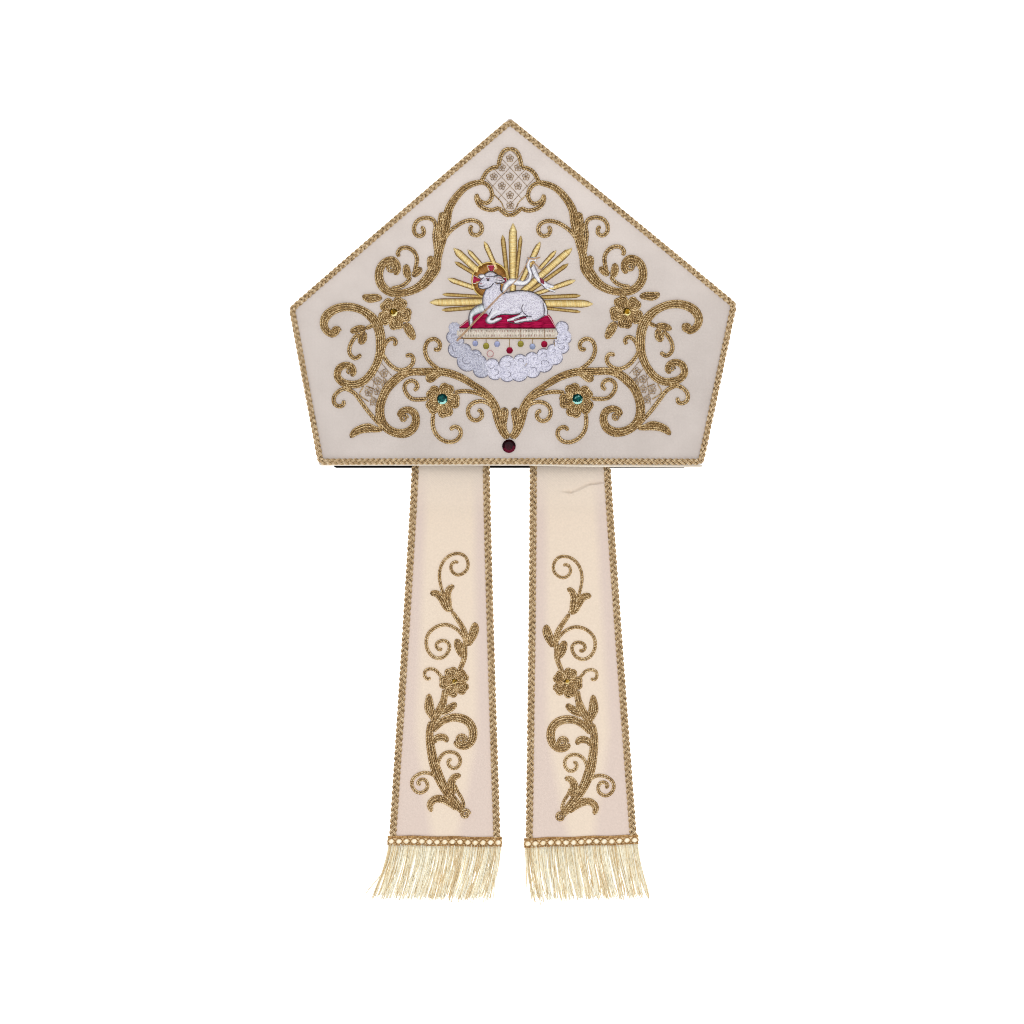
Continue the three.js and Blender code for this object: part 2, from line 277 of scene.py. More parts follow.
def dress(piece, material, *nodes):
    """A piece in its material, standing for the named nodes."""
    piece.data.materials.append(material)
    if nodes:
        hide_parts(*nodes)


def panel_stations(rows, columns):
    """x and y over the pentagon, set in from its seam: rows up from the brow with one on the side
    corners, and columns across each row from its left edge to its right."""
    edges = []
    for sign, brow, (corner, high) in ((-1, BROW_LEFT, CORNER_LEFT), (1, BROW_RIGHT, CORNER_RIGHT)):
        low = np.linspace(EDGE_INSET, high, rows // 2)
        y = np.concatenate([low, np.linspace(high, PEAK_Y - EDGE_INSET * 1.4, rows - rows // 2 + 1)[1:]])
        side = brow + (corner - brow) * y / high - EDGE_INSET * 1.2
        slope = (corner - EDGE_INSET * 1.2) * (PEAK_Y - y) / (PEAK_Y - high)
        edges.append(np.stack([sign * np.where(y <= high, side, np.maximum(slope, 0.8)), y], 1))
    across = np.linspace(0, 1, columns)[None, :, None]
    grid = edges[0][:, None, :] * (1 - across) + edges[1][:, None, :] * across
    return grid[..., 0], grid[..., 1]


def off_edge(grid):
    """One over a grid, and zero along its four edges."""
    edge = np.ones_like(grid)
    edge[[0, -1], :] = 0
    edge[:, [0, -1]] = 0
    return edge


IVORY_CLOTH = cloth("ivory_cloth", IVORY, IVORY_DEEP, painted_brow_shade=0.082)
x, y = panel_stations(90, 110)
ripple = 0.22 * noise(x, y, 3, 46) + 0.10 * noise(x, y, 4, 17)
edge = off_edge(x)
upper = on_front(x, y, (ripple - 0.30) * edge - 0.35 * (1 - edge))
lower = on_front(x, y, -PANEL_THICK + 0.35 * (1 - edge))
front_panel = slab("front_panel_cloth", upper, lower, np.stack([x, y], -1) * 0.001)
dress(front_panel, IVORY_CLOTH, "front_panel")

# ================================================================ back panel
# The mitre's flat back, of the same stiffened cloth, left plain on the side that it lies on.
BACK_Z = 1.7
BACK_TOP = 4.2
x, y = panel_stations(30, 30)
sag = 0.12 * noise(x, y, 9, 50)
edge = off_edge(x)
top = np.stack([x, y, BACK_TOP - 0.4 * (1 - edge) + np.minimum(sag, 0)], -1)
bottom = np.stack([x, y, BACK_Z + 0.4 * (1 - edge) + np.abs(sag) * 0.5], -1)
back_panel = slab("back_panel_cloth", top, bottom, np.stack([x, y], -1) * 0.001)
dress(back_panel, IVORY_CLOTH, "back_panel")

# ================================================================ crown gusset
# Soft lining cloth sewn inside both slopes, which folds down between the peaks in a valley.
# A sheet along the front, round a soft fold and back along the rear, gathered a little near the fold.
GUSSET_HALF = 156.0
GUSSET_THICK = 1.0
u = np.linspace(-1, 1, 80)[None, :]
t = np.linspace(0, 1, 51)[:, None]
x = GUSSET_HALF * u * np.ones_like(t)
corner_x = np.where(x < 0, CORNER_LEFT[0], CORNER_RIGHT[0])
corner_y = np.where(x < 0, CORNER_LEFT[1], CORNER_RIGHT[1])
edge_y = PEAK_Y + (corner_y - PEAK_Y) * np.abs(x) / corner_x - 4
fold_y = 119 - 9 * (1 - (x / GUSSET_HALF) ** 2)
bend_y = fold_y + 6


def under_front(x, y, depth):
    """The height of a surface that lies a depth inside the front's face."""
    return front_z(x, y) - depth / front_normal(x, y)[..., 2]


turn = np.clip((t - 0.4) / 0.2, 0, 1) * math.pi
down = np.clip(t / 0.4, 0, 1)
up = np.clip((t - 0.6) / 0.4, 0, 1)
going_down = edge_y + (bend_y - edge_y) * down
coming_up = bend_y + (edge_y - bend_y) * up
y = np.where(t < 0.4, going_down, np.where(t > 0.6, coming_up, bend_y - 6 * np.sin(turn)))
depth = PANEL_THICK + GAP + GUSSET_THICK / 2
high = under_front(x, np.where(t < 0.4, y, bend_y), depth)
low_z = 4.5 + GUSSET_THICK / 2
z = (high + low_z) / 2 + (high - low_z) / 2 * np.cos(turn)
gather = np.sin(math.pi * np.clip(1 - np.abs(t - 0.5) / 0.5, 0, 1) / 2) ** 2 * (1 - u**4)
crease = (noise(x, y * 0.12, 12, 26) - 1) * 0.9 * gather
facing = np.gradient(np.stack([x, y, z], -1), axis=0)
normal = np.stack([np.zeros_like(z), facing[..., 2], -facing[..., 1]], -1)
normal /= np.linalg.norm(normal, axis=-1, keepdims=True)
middle = np.stack([x, y, z], -1) - normal * np.abs(crease)[..., None] * 0.5
grid_uv = np.stack([x * 0.001, 0.326 * t * np.ones_like(x)], -1)
inward = normal * GUSSET_THICK / 2
gusset = slab("crown_gusset_cloth", middle - inward, middle + inward, grid_uv)
LINING = cloth("lining_silk", "#e6dccd", "#d9cdbc", weave=0.4, strength=0.15, roughness=0.6)
dress(gusset, LINING, "crown_gusset")

# ================================================================ sweatband
# The black leather band round the inside of the brow, which shows as a thin dark line below the braid.
BLACK_LEATHER, add, shade = new_material("black_leather")
place = add("TexCoord").outputs["Object"]
grain = add("TexVoronoi", {"Vector": place, "Scale": 900.0}).outputs["Distance"]
wear = add("TexNoise", {"Vector": place, "Scale": 60.0, "Detail": 3.0}).outputs["Fac"]
shade({"Base Color": ramp(add, wear, (0.3, "#080606"), (0.7, "#14100e")),
       "Normal": bump(add, grain, 0.3, 0.0002), "Roughness": 0.7, "Specular IOR Level": 0.15})
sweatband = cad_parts["sweatband"]
sweatband.data.materials.clear()
dress(sweatband, BLACK_LEATHER)

# ================================================================ lappets
# The two hanging bands of the same ivory cloth, sewn in at the brow and laid down over its edge.
# Their middles are lit warmer than the turned-in hems along both edges.
LAPPETS = {
    "left": {"brow_x": -46.2, "end_x": -51.0, "half": 30.3, "flare": 13.2, "lean": -9.5},
    "right": {"brow_x": 47.0, "end_x": 55.8, "half": 31.4, "flare": 12.0, "lean": 6.0},
}
LAPPET_END = -294.0
LAPPET_THICK = 1.6
LAPPET_FACE = 1.9


def lappet_half(side, y):
    """Half the lappet's width, wider towards its end."""
    row = LAPPETS[side]
    return row["half"] + row["flare"] * np.clip(y / LAPPET_END, 0, None) ** 1.1


def lappet_z(y):
    """The underside: on the back panel at the brow, then down to what the mitre lies on."""
    t = np.clip((y + 34) / 30, 0, 1)
    return 5.8 * t * t * (3 - 2 * t)


def leaned(side, y, out):
    """x and y of a point y down a lappet and out from its middle line, which leans."""
    row = LAPPETS[side]
    slant = (row["end_x"] - row["brow_x"]) / LAPPET_END
    return row["brow_x"] + slant * y + out, y - slant * out


def on_lappet(side, y, across, extra, up):
    """A point y down the lappet, across from -1 to 1, extra millimetres outwards and up off it."""
    x, y0 = leaned(side, y, across * lappet_half(side, y) + np.sign(across) * extra)
    return np.stack(np.broadcast_arrays(x, y0, lappet_z(y) + up), -1)


def lappet_cloth():
    """Ivory cloth with the hems' pinker colour along the edges, and a painted shadow at the top under the
    brow.
    """
    material, add, shade = new_material("lappet_cloth")
    place = add("TexCoord").outputs["Object"]
    parts = add("SeparateXYZ", {"Vector": add("UVMap", uv_map="flat").outputs["UV"]})
    wobble = add("TexNoise", {"Vector": place, "Scale": 22.0, "Detail": 3.0}).outputs["Fac"]
    out = add("Math", {0: parts.outputs["X"]}, operation="ABSOLUTE").outputs[0]
    lower = spread(add, parts.outputs["Y"], 0.21, 0.30, 0.0, 0.42)
    hem = ramp(add, blend(add, (out, 1.0), (wobble, 0.05), (lower, 1.0)), (0.55, "#ebd9c5"),
               (0.74, "#dfccc0"))
    # Painted shadow: the top of each lappet, under the brow, is mixed towards a darker colour.
    down = spread(add, parts.outputs["Y"], 0.0, 0.045, 0.0, 1.0)
    mix = add("Mix", {"Factor": down, 6: rgba("#e2d3c3"), 7: hem}, data_type="RGBA")
    mottle = add("TexNoise", {"Vector": place, "Scale": 600.0, "Detail": 3.0}).outputs["Fac"]
    value = spread(add, mottle, 0.3, 0.7, 0.96, 1.03)
    warp = add("TexWave", {"Vector": place, "Scale": 290.0, "Distortion": 1.0},
               bands_direction="DIAGONAL")
    shade({"Base Color": add("HueSaturation", {"Color": mix.outputs[2], "Value": value}).outputs["Color"],
           "Normal": bump(add, warp.outputs["Fac"], 0.2, 0.0002), "Roughness": 0.8, "Sheen Weight": 0.12})
    return material


LAPPET_CLOTH = lappet_cloth()
for side in LAPPETS:
    y = np.concatenate([np.linspace(16, -40, 110), np.linspace(-40, LAPPET_END, 50)[1:]])[:, None]
    across = np.linspace(-1, 1, 32)[None, :]
    inner = np.clip((1 - np.abs(across)) * lappet_half(side, y), 0, 9) / 9
    rise = 0.35 * (noise(across * 40, y, 21 if side == "left" else 22, 70) + 1) * (1 - (y > 0))
    if side == "right":
        along = np.interp(across, [-0.35, -0.2, 0.04, 0.24, 0.47, 0.9],
                          [-21, -21.8, -23, -20, -16.8, -15.6])
        crease = y - along
        fold = 1.1 * np.exp(-((crease / 1.3) ** 2)) - 0.8 * np.exp(-(((crease - 2.4) / 1.3) ** 2))
        rise = rise + 1.35 * fold * np.clip((across + 0.35) / 0.3, 0, 1) + 0.25
    edge = off_edge(inner)
    upper = on_lappet(side, y, across, -EDGE_INSET, LAPPET_THICK - 0.35 * (1 - edge) + rise * inner * 0.9)
    lower = on_lappet(side, y, across, -EDGE_INSET, 0.3 * (1 - edge))
    flat = np.stack(np.broadcast_arrays(across, -y * 0.001), -1)
    lappet = slab(f"lappet_{side}_cloth", upper, lower, flat)
    lappet.data.flip_normals()
    dress(lappet, LAPPET_CLOTH, f"lappet_{side}")

# ================================================================ braids
# Flat three-strand plait of doubled gold cord, turned at the corners and sewn along every edge.
# A thin gold tape under it closes the gaps between the strands, in the darkest colour of the gold as
# painted shade between them.
BRAID_HALF = 2.65
LAPPET_BRAID_HALF = 3.1
PLAIT_PITCH = 13.35
PLAIT_CORD = (0.47, 0.5)


def smooth_line(points, step):
    """A line through given points, as a centripetal spline resampled to even steps, n by k."""
    p = np.asarray(points, float)
    ends = np.concatenate([[2 * p[0] - p[1]], p, [2 * p[-1] - p[-2]]])
    gaps = np.sqrt(np.linalg.norm(np.diff(ends[:, :2], axis=0), axis=1)) + 1e-6
    fine = []
    for i in range(1, len(ends) - 2):
        p0, p1, p2, p3 = ends[i - 1 : i + 3]
        g0, g1, g2 = gaps[i - 1 : i + 2]
        m1 = (p1 - p0) / g0 - (p2 - p0) / (g0 + g1) + (p2 - p1) / g1
        m2 = (p2 - p1) / g1 - (p3 - p1) / (g1 + g2) + (p3 - p2) / g2
        s = np.linspace(0, 1, 12, endpoint=False)[:, None]
        a = 2 * s**3 - 3 * s**2 + 1
        b = s**3 - 2 * s**2 + s
        c = -2 * s**3 + 3 * s**2
        d = s**3 - s**2
        fine.append(a * p1 + b * g1 * m1 + c * p2 + d * g1 * m2)
    fine = np.concatenate([*fine, ends[-2:-1]])
    return resample(fine, step)


def walked(line):
    """How far along a line each of its points is."""
    return np.concatenate([[0], np.cumsum(np.linalg.norm(np.diff(line, axis=0), axis=1))])


def spaced(line, count):
    """The same line at count even stations along its first two columns."""
    way = walked(line[:, :2])
    at = np.linspace(0, way[-1], count)
    return np.stack([np.interp(at, way, line[:, k]) for k in range(line.shape[1])], 1)


def resample(line, step):
    """The same line at even steps."""
    return spaced(line, max(3, int(round(walked(line[:, :2])[-1] / step)) + 1))


def tube_arrays(centre, up, radii, sides=6, lay=None, lobes=0.0, phase=0.0):
    """A cord along centre (n by 3) with its surface's normals up: an oval section of the two radii,
    drawn in at two lobes that turn once per lay millimetres. Returns points, faces, uvs and the lobe
    height of each vertex from 0 in the groove to 1 on the ply."""
    n = len(centre)
    forward = np.gradient(centre, axis=0)
    forward /= np.linalg.norm(forward, axis=1, keepdims=True) + 1e-12
    side = np.cross(up, forward)
    side /= np.linalg.norm(side, axis=1, keepdims=True) + 1e-12
    lift = np.cross(forward, side)
    way = walked(centre)[:, None]
    angle = 2 * math.pi * np.arange(sides)[None, :] / sides + np.zeros((n, 1))
    spin = 2 * math.pi * way / lay + phase if lay else 0.0
    # ply also serves as painted shade: dark in the grooves and light on the plies' backs.
    ply = 0.5 + 0.5 * np.cos(2 * (angle - spin)) if lay else np.ones_like(angle)
    size = 1 - lobes * (1 - ply)
    thin = np.ones((n, 1))
    thin[[0, -1]] = 0.55
    across = (radii[0] * np.cos(angle) * size * thin)[..., None]
    high = (radii[1] * np.sin(angle) * size * thin)[..., None]
    points = centre[:, None, :] + side[:, None, :] * across + lift[:, None, :] * high
    faces = grid_faces(n, sides, loop=True)
    first = np.array([[i + 3, i + 2, i + 1, 0] for i in range(0, sides - 2, 2)])
    last = (n - 1) * sides + first[:, ::-1]
    uv = np.stack([way + 0 * angle, angle * radii[0]], -1) * 0.001
    return points.reshape(-1, 3), np.concatenate([faces, first, last]), uv.reshape(-1, 2), ply.reshape(-1)


def joined(name, parts):
    """Several (points, faces, uvs, shade) as one piece. shade becomes the red channel of tint, and a
    seeded tone for each part the green. shade is painted shade and light: low in the grooves between
    plies and where a strand passes under, high on the plies' backs."""
    rng = np.random.default_rng(len(parts))
    starts = np.cumsum([0] + [len(part[0]) for part in parts])
    points, uvs, shades = [np.concatenate([part[k] for part in parts]) for k in (0, 2, 3)]
    faces = np.concatenate([part[1] + start for part, start in zip(parts, starts)])
    tones = np.repeat([rng.uniform(0, 1) for _ in parts], np.diff(starts))
    return mesh_piece(name, points, faces, uvs, np.stack([shades, tones, 0 * tones], 1))


def offset_line(line, offset):
    """A flat line moved sideways by offset (one number for each point)."""
    forward = np.gradient(line, axis=0)
    forward /= np.linalg.norm(forward, axis=1, keepdims=True) + 1e-12
    return line + np.stack([-forward[:, 1], forward[:, 0]], 1) * np.asarray(offset)[:, None]


def plait(line, place, half=BRAID_HALF, sides=6):
    """A plait along a line (n by 2), of three strands that are two cords each. place(points, height)
    gives the surface point and its normal. Each strand swings from edge to edge once in a pitch, a
    third of it behind the last, and passes over and under twice as often. Where it passes under, its
    colour is darkened as painted shade."""
    way = walked(line)
    turns = max(3, round(way[-1] / PLAIT_PITCH))
    parts = []
    for strand in range(3):
        angle = 2 * math.pi * (way / way[-1] * turns + strand / 3)
        swing = (half - 2 * PLAIT_CORD[0]) * np.sin(angle)
        over = 0.5 + 0.5 * np.sin(2 * angle)
        for sign in (-1, 1):
            at = offset_line(offset_line(line, swing), sign * PLAIT_CORD[0] * 0.9 + 0 * way)
            centre, up = place(at, 0.55 + 0.9 * over)
            cord = tube_arrays(centre, up, PLAIT_CORD, sides=sides, lay=5.0, lobes=0.18,
                               phase=strand + sign)
            # The shade is mostly painted: dark where the strand passes under another, light where it lies
            # over.
            parts.append((*cord[:3], 0.35 * cord[3] + 0.65 * np.repeat(over, sides)))
    return parts


def strip(line, place, half, low, high):
    """A flat closed ribbon under a line, half wide to each side, from height low to high."""
    forward = np.gradient(line, axis=0)
    forward /= np.linalg.norm(forward, axis=1, keepdims=True)
    side = np.stack([-forward[:, 1], forward[:, 0]], 1)
    half = np.broadcast_to(half, (len(line),))[:, None]
    section = ((-1, low), (-0.93, high), (-0.4, high * 1.1), (0.4, high * 1.1), (0.93, high), (1, low))
    points = np.stack([place(line + side * half * s, np.full(len(line), h))[0] for s, h in section], 1)
    n = len(line)
    faces = grid_faces(n, 6, loop=True)
    first = np.array([[0, 1, 2, 3], [0, 3, 4, 5]])
    last = (n - 1) * 6 + first[:, ::-1]
    uv = np.stack(np.broadcast_arrays(np.arange(n)[:, None], np.arange(6)[None, :]), -1) * 0.001
    faces = np.concatenate([faces[:, ::-1], first, last])
    # Its shade of 0.05 gives it the darkest colour of its thread: painted shade for the gaps between the
    # cords laid over it.
    return points.reshape(-1, 3), faces, uv.reshape(-1, 2), np.full(n * 6, 0.05)


def on_face(at, height):
    """Where a flat point lies on the bowed front, with the normal there."""
    return on_front(at[:, 0], at[:, 1], height), front_normal(at[:, 0], at[:, 1])


def gold_thread(name, dark, middle, light, roughness, metal, weights=(0.40, 0.10, 0.38, 0.12)):
    """Metallised gold thread, with painted light in its colour: painted shade in the grooves between
    plies and a painted highlight on their backs, painted glints in random bright and dark cells about
    a millimetre across, and the fine winding of the foil along each ply. weights share the shade
    between ply, cord, glint cell and patch."""
    material, add, shade = new_material(name)
    tint = add("SeparateColor", {"Color": add("VertexColor", layer_name="tint").outputs["Color"]}).outputs
    place = add("TexCoord").outputs["Object"]
    # Painted glints: a random brightness for each small cell, standing in for highlights on the windings.
    glint = add("TexVoronoi", {"Vector": place, "Scale": 760.0}).outputs["Color"]
    stitch = add("SeparateColor", {"Color": glint}).outputs["Red"]
    patch = add("TexNoise", {"Vector": place, "Scale": 70.0, "Detail": 2.0}).outputs["Fac"]
    tone = blend(add, *zip((tint["Red"], tint["Green"], stitch, patch), weights))
    uv = add("UVMap", uv_map="flat").outputs["UV"]
    winding = add("TexWave", {"Vector": uv, "Scale": 1300.0, "Distortion": 0.6}, bands_direction="X")
    shade({"Base Color": ramp(add, tone, (0.14, dark), (0.48, middle), (0.84, light)),
           "Normal": bump(add, winding.outputs["Fac"], 0.25, 0.0001), "Metallic": metal,
           "Roughness": roughness})
    return material


BRAID_GOLD = gold_thread("plaited_gold_braid", "#5c4426", "#bf9f72", "#f0dcb8", roughness=0.5, metal=0.35,
                         weights=(0.52, 0.06, 0.26, 0.16))


def rounded(corners, radius, step):
    """A closed run round corners (n by 2), each rounded off, at even steps, returned open."""
    corners = np.asarray(corners, float)
    pieces = []
    for i in range(len(corners)):
        before, here, after = corners[i - 1], corners[i], corners[(i + 1) % len(corners)]
        a = here + (before - here) / np.linalg.norm(before - here) * radius
        b = here + (after - here) / np.linalg.norm(after - here) * radius
        s = np.linspace(0, 1, 9)[:, None]
        pieces.append((1 - s) ** 2 * a + 2 * s * (1 - s) * here + s**2 * b)
    pieces.append(pieces[0][:1])
    return resample(np.concatenate(pieces), step)


def panel_edge(inset):
    """The pentagon's corners, moved in by inset, anticlockwise from the brow's left end."""
    left = (-CORNER_LEFT[0], CORNER_LEFT[1])
    corners = np.array([(-BROW_LEFT, 0), (BROW_RIGHT, 0), CORNER_RIGHT, (0, PEAK_Y), left])
    moved = []
    for i in range(5):
        along = corners[i] - corners[i - 1]
        onward = corners[(i + 1) % 5] - corners[i]
        along = along / np.linalg.norm(along)
        onward = onward / np.linalg.norm(onward)
        inward = np.array([-along[1] - onward[1], along[0] + onward[0]])
        inward /= np.linalg.norm(inward)
        moved.append(corners[i] + inward * inset / (inward @ np.array([-onward[1], onward[0]])))
    return np.array(moved)


RUNS = ("brow", "right_side", "right_slope", "left_slope", "left_side")
line = rounded(panel_edge(BRAID_HALF), 3.2, 0.8)
parts = [strip(line[::2], on_face, 1.5, -0.5, 0.4), *plait(line, on_face)]
dress(joined("front_braid", parts), BRAID_GOLD, *[f"front_braid_{run}" for run in RUNS])


def on_back(at, height):
    """Where a flat point lies on the underside of the back panel."""
    z = BACK_Z - height * 0.8
    return np.stack([at[:, 0], at[:, 1], z], 1), np.tile([0.0, 0.0, -1.0], (len(at), 1))


line = rounded(panel_edge(BRAID_HALF), 3.2, 1.6)[::-1]
parts = [strip(line[::2], on_back, 1.5, 0.0, 0.4), *plait(line, on_back, sides=4)]
dress(joined("back_braid", parts), BRAID_GOLD, *[f"back_braid_{run}" for run in RUNS])


def laid_at(level):
    """A placing function for flat points on a lappet, level above its underside."""
    def place(at, height):
        z = lappet_z(at[:, 1]) + level + height
        return np.stack([at[:, 0], at[:, 1], z], 1), np.tile([0.0, 0.0, 1.0], (len(at), 1))
    return place


on_lappet_face = laid_at(LAPPET_FACE - 0.3)
for side in LAPPETS:
    for edge, inner in ((-1, side == "right"), (1, side == "left")):
        y = np.linspace(15.5, -291.2, 420)
        run = resample(on_lappet(side, y, float(edge), 0.5 - LAPPET_BRAID_HALF, 0)[:, :2], 0.8)
        which = "inner" if inner else "outer"
        parts = [strip(run[::2], on_lappet_face, 1.8, 0.0, 0.4),
                 *plait(run, on_lappet_face, half=LAPPET_BRAID_HALF)]
        braid = joined(f"lappet_{side}_{which}_plait", parts)
        dress(braid, BRAID_GOLD, f"lappet_{side}_braid_{which}")

# The pale folded hem of the lining, which shows as a thin line just below the brow braid.
x = np.linspace(1 - BROW_LEFT, BROW_RIGHT - 1, 200)
y = np.interp(x, [-150, 15, 60, 150], [0.25, 0.1, -0.6, -0.7])
centre = np.stack([x, y, front_z(x, 0 * y + 0.1) - 1.2], -1)
wide = np.interp(x, [15, 60], [0.8, 1.15])[:, None]
hem = tube_arrays(centre, front_normal(x, 0 * y), (wide, 1.1), sides=8)
dress(joined("brow_hem", [hem]), LINING)

# ================================================================ fringe headings
# A woven gold gimp heading across each lappet's end: two firm rims, with two cords crossing between
# them in a chain of round eyes over a pale ground, and a pale bead of silk in each eye.
EYES = 15
HEADING_TOP = -290.6
HEADING_LOW = -297.8
PALE_GOLD = gold_thread("pale_gold_silk", "#d4ae74", "#f3deb4", "#fff5de", roughness=0.5, metal=0.1)
HEADING_GOLD = gold_thread("heading_gold", "#5c3f1d", "#a87c46", "#d4ae76", roughness=0.48, metal=0.35)
SPOKES = 12
# Radius, height and painted shade of each ring of a bead, from its rim to its middle: darker at the rim,
# where the dome turns away, and lighter on top.
EYE_RINGS = ((2.15, 0.3, 0.3), (1.95, 0.75, 0.7), (1.3, 1.0, 1.0), (0.25, 1.1, 1.0))


def heading(side, u, v):
    """Flat point on a heading: u across from -1 to 1 and v up from 0 at its lower rim."""
    out = u * (lappet_half(side, HEADING_TOP) + 1.5)
    x, y = leaned(side, HEADING_LOW + (HEADING_TOP - HEADING_LOW) * v, out)
    return np.stack([x, y + 0.25 * np.sin(u * 9)], -1)


def silk_bead(middle):
    """The pale bead in one eye: rings of a dome, closed above and below."""
    turn = np.linspace(0, 2 * math.pi, SPOKES + 1)[:-1]
    circle = np.stack([np.cos(turn), np.sin(turn)], 1)
    rows = [on_lappet_face(middle + r * circle, h)[0] for r, h, _ in EYE_RINGS]
    points = np.concatenate(rows)
    fan = np.array([[0, i, i + 1, i + 2] for i in range(1, SPOKES - 1, 2)])
    faces = np.concatenate([grid_faces(4, SPOKES, loop=True), 3 * SPOKES + fan, fan[:, ::-1]])
    return points, faces, points[:, :2] * 0.001, np.repeat([row[2] for row in EYE_RINGS], SPOKES)


for side in LAPPETS:
    u = np.linspace(-1, 1, 240)
    dark = []
    for v, size in ((0.94, 0.7), (0.82, 0.5), (0.04, 0.55)):
        centre, up = on_lappet_face(heading(side, u, v), 0.85)
        dark.append(tube_arrays(centre, up, (size, 0.7), lay=2.6, lobes=0.2))
    eye = np.linspace(-1, 1, 420)
    beat = eye * math.pi * EYES / 2 + math.pi / 2 * (EYES % 2)
    for sign in (-1, 1):
        swing = np.sign(np.sin(beat)) * np.abs(np.sin(beat)) ** 0.7
        wave = heading(side, eye, 0.41 + sign * 0.33 * swing)
        centre, up = on_lappet_face(wave, 0.9 + 0.35 * sign * np.cos(beat))
        dark.append(tube_arrays(centre, up, (0.38, 0.4), lay=2.2, lobes=0.15))
    pale = [strip(heading(side, u, 0.5), on_lappet_face, 3.2, 0.0, 0.5)]
    for k in range(EYES):
        pale.append(silk_bead(heading(side, (k + 0.5) / EYES * 2 - 1, 0.41)))
    dress(joined(f"fringe_heading_{side}_eyes", pale), PALE_GOLD)
    dress(joined(f"fringe_heading_{side}_gimp", dark), HEADING_GOLD,
          f"fringe_heading_{side}")

# ================================================================ fringes
# Twisted gold rayon yarns hanging from the heading, cut about 44 mm long, clumped and combed to one
# side as they lie, with a few strays spread out at the ends.
FRINGE_GOLD = gold_thread("rayon_fringe", "#d4b070", "#faf0d2", "#fffdf0", roughness=0.5, metal=0.0,
                          weights=(0.22, 0.48, 0.10, 0.20))
YARNS = 250
for side, row in LAPPETS.items():
    rng = np.random.default_rng(31 if side == "left" else 32)
    start_u = (np.arange(YARNS) + rng.uniform(0, 1, YARNS)) / YARNS * 1.97 - 0.985
    clumps = np.linspace(-1, 1, 15) + rng.uniform(-0.05, 0.05, 15)
    parts = []
    for i, u0 in enumerate(start_u):
        nearest = clumps[np.argmin(np.abs(clumps - u0))]
        pull = rng.uniform(0.12, 0.78)
        u1 = u0 + (nearest - u0) * pull + rng.normal(0, 0.025)
        stray = rng.uniform() < 0.06
        length = 44.5 + rng.normal(0, 1.4) - (4 if stray else 0)
        t = np.linspace(0, 1, 12)
        half_here = lappet_half(side, -292.0) + 1.2 + 1.6 * t
        across = (u0 + (u1 - u0) * t**1.3) * half_here
        combed = row["lean"] * t**1.4 * (1 + rng.normal(0, 0.16))
        wave = rng.normal(0, 0.7) * np.sin(t * rng.uniform(2.5, 6)) * t
        if stray:
            wave = wave + rng.choice([-1, 1]) * rng.uniform(3, 9) * t**1.6
        x, y = leaned(side, -297.0 - (length - 2.6) * t, across)
        z = 0.55 + 1.9 * rng.uniform(0, 1) * (1 - 0.5 * t) + 0.6 * (1 - t) ** 3
        centre = np.stack([x + combed + wave, y, z], 1)
        up = np.tile([0.0, 0.0, 1.0], (len(t), 1))
        yarn = tube_arrays(centre, up, (0.44, 0.4), sides=4, lay=3.0, lobes=0.15, phase=i)
        # Painted shade in the grooves between each yarn's plies, and lighter on the plies' backs.
        parts.append((*yarn[:3], 0.15 + 0.55 * yarn[3]))
    dress(joined(f"fringe_{side}_yarns", parts), FRINGE_GOLD, f"fringe_{side}")

# ================================================================ front scrollwork
# Gold cord couched side by side: each stem is as many cords as its width takes, over a padding strip
# in the gold's darkest colour that shows as painted shade between the cords, each tendril is two
# cords, and the flowers and leaves are looped cords. The left half is charted, and the right is
# turned over from it.
CORD = 0.82
LAY = 4.3
STEP = 0.72
PITCH = 1.58
COIL = 1.55
SCROLL_GOLD = gold_thread("couched_gold_cord", "#573d1a", "#a3804b", "#ecd3a4", roughness=0.42, metal=0.4)

# x, y and width along each stem, leaf and tendril.
MAIN_STEM = [(-20.6, 221.2, 2.6), (-23, 220.8, 3), (-30, 219, 3.6), (-36, 215.5, 4), (-42, 209, 4.6),
             (-46.5, 202, 5), (-48.3, 197, 5.5), (-50, 190, 7), (-52, 183, 8), (-53.5, 175, 6.6),
             (-55, 168, 5.6), (-56.5, 161, 5.4), (-58.5, 154, 8), (-62, 148, 7.6), (-67, 142, 6.6),
             (-73, 137.8, 5.5), (-80, 135.1, 4.8), (-87, 134.3, 4.9), (-93.2, 135.2, 5.1),
             (-98.4, 138.8, 5.6), (-101.4, 144, 5.6), (-101.9, 150, 5.4), (-100, 155.6, 5.1),
             (-96, 159.4, 4.7), (-91.4, 160.2, 4.4), (-88, 157, 4.2), (-87.5, 152.4, 3.8),
             (-90, 148.8, 3.2)]
UPPER_C = [(-133, 108.5, 4), (-138, 102.8, 4.2), (-143.2, 105.8, 4.6), (-145.2, 111, 5.2), (-143, 117, 6),
           (-137.5, 121.5, 5.8), (-130, 123.8, 5.5), (-122, 123.5, 5.2), (-114, 120.5, 5),
           (-107.5, 115.5, 6), (-103, 109, 6.5), (-101, 102, 6.5), (-100.5, 95, 6.5), (-101, 88, 5.8),
           (-103.5, 80, 5), (-107, 73.5, 5), (-112, 67.5, 5), (-118, 64, 5), (-125, 63.5, 5),
           (-131, 65.5, 4.8), (-134.5, 70, 4.6), (-133, 76, 4.5), (-128, 78.5, 4.2), (-123, 77, 3.6),
           (-121.5, 73, 3), (-124, 70, 2.6)]
LOWER_C = [(-71, 73.2, 3), (-77, 73, 4.4), (-84, 70.5, 5.5), (-90, 66, 6), (-95.5, 60, 5.8),
           (-99, 53, 5.5), (-101, 46, 5.8), (-101, 39, 6), (-99, 33, 5.8), (-94, 28, 5.5),
           (-88, 25.5, 5.6), (-81, 25.5, 6), (-75.5, 29, 5.6), (-73, 35, 5), (-74.5, 41, 4.8),
           (-79.5, 43.5, 4.2), (-84.5, 42, 3.4), (-86.5, 38, 2.8)]
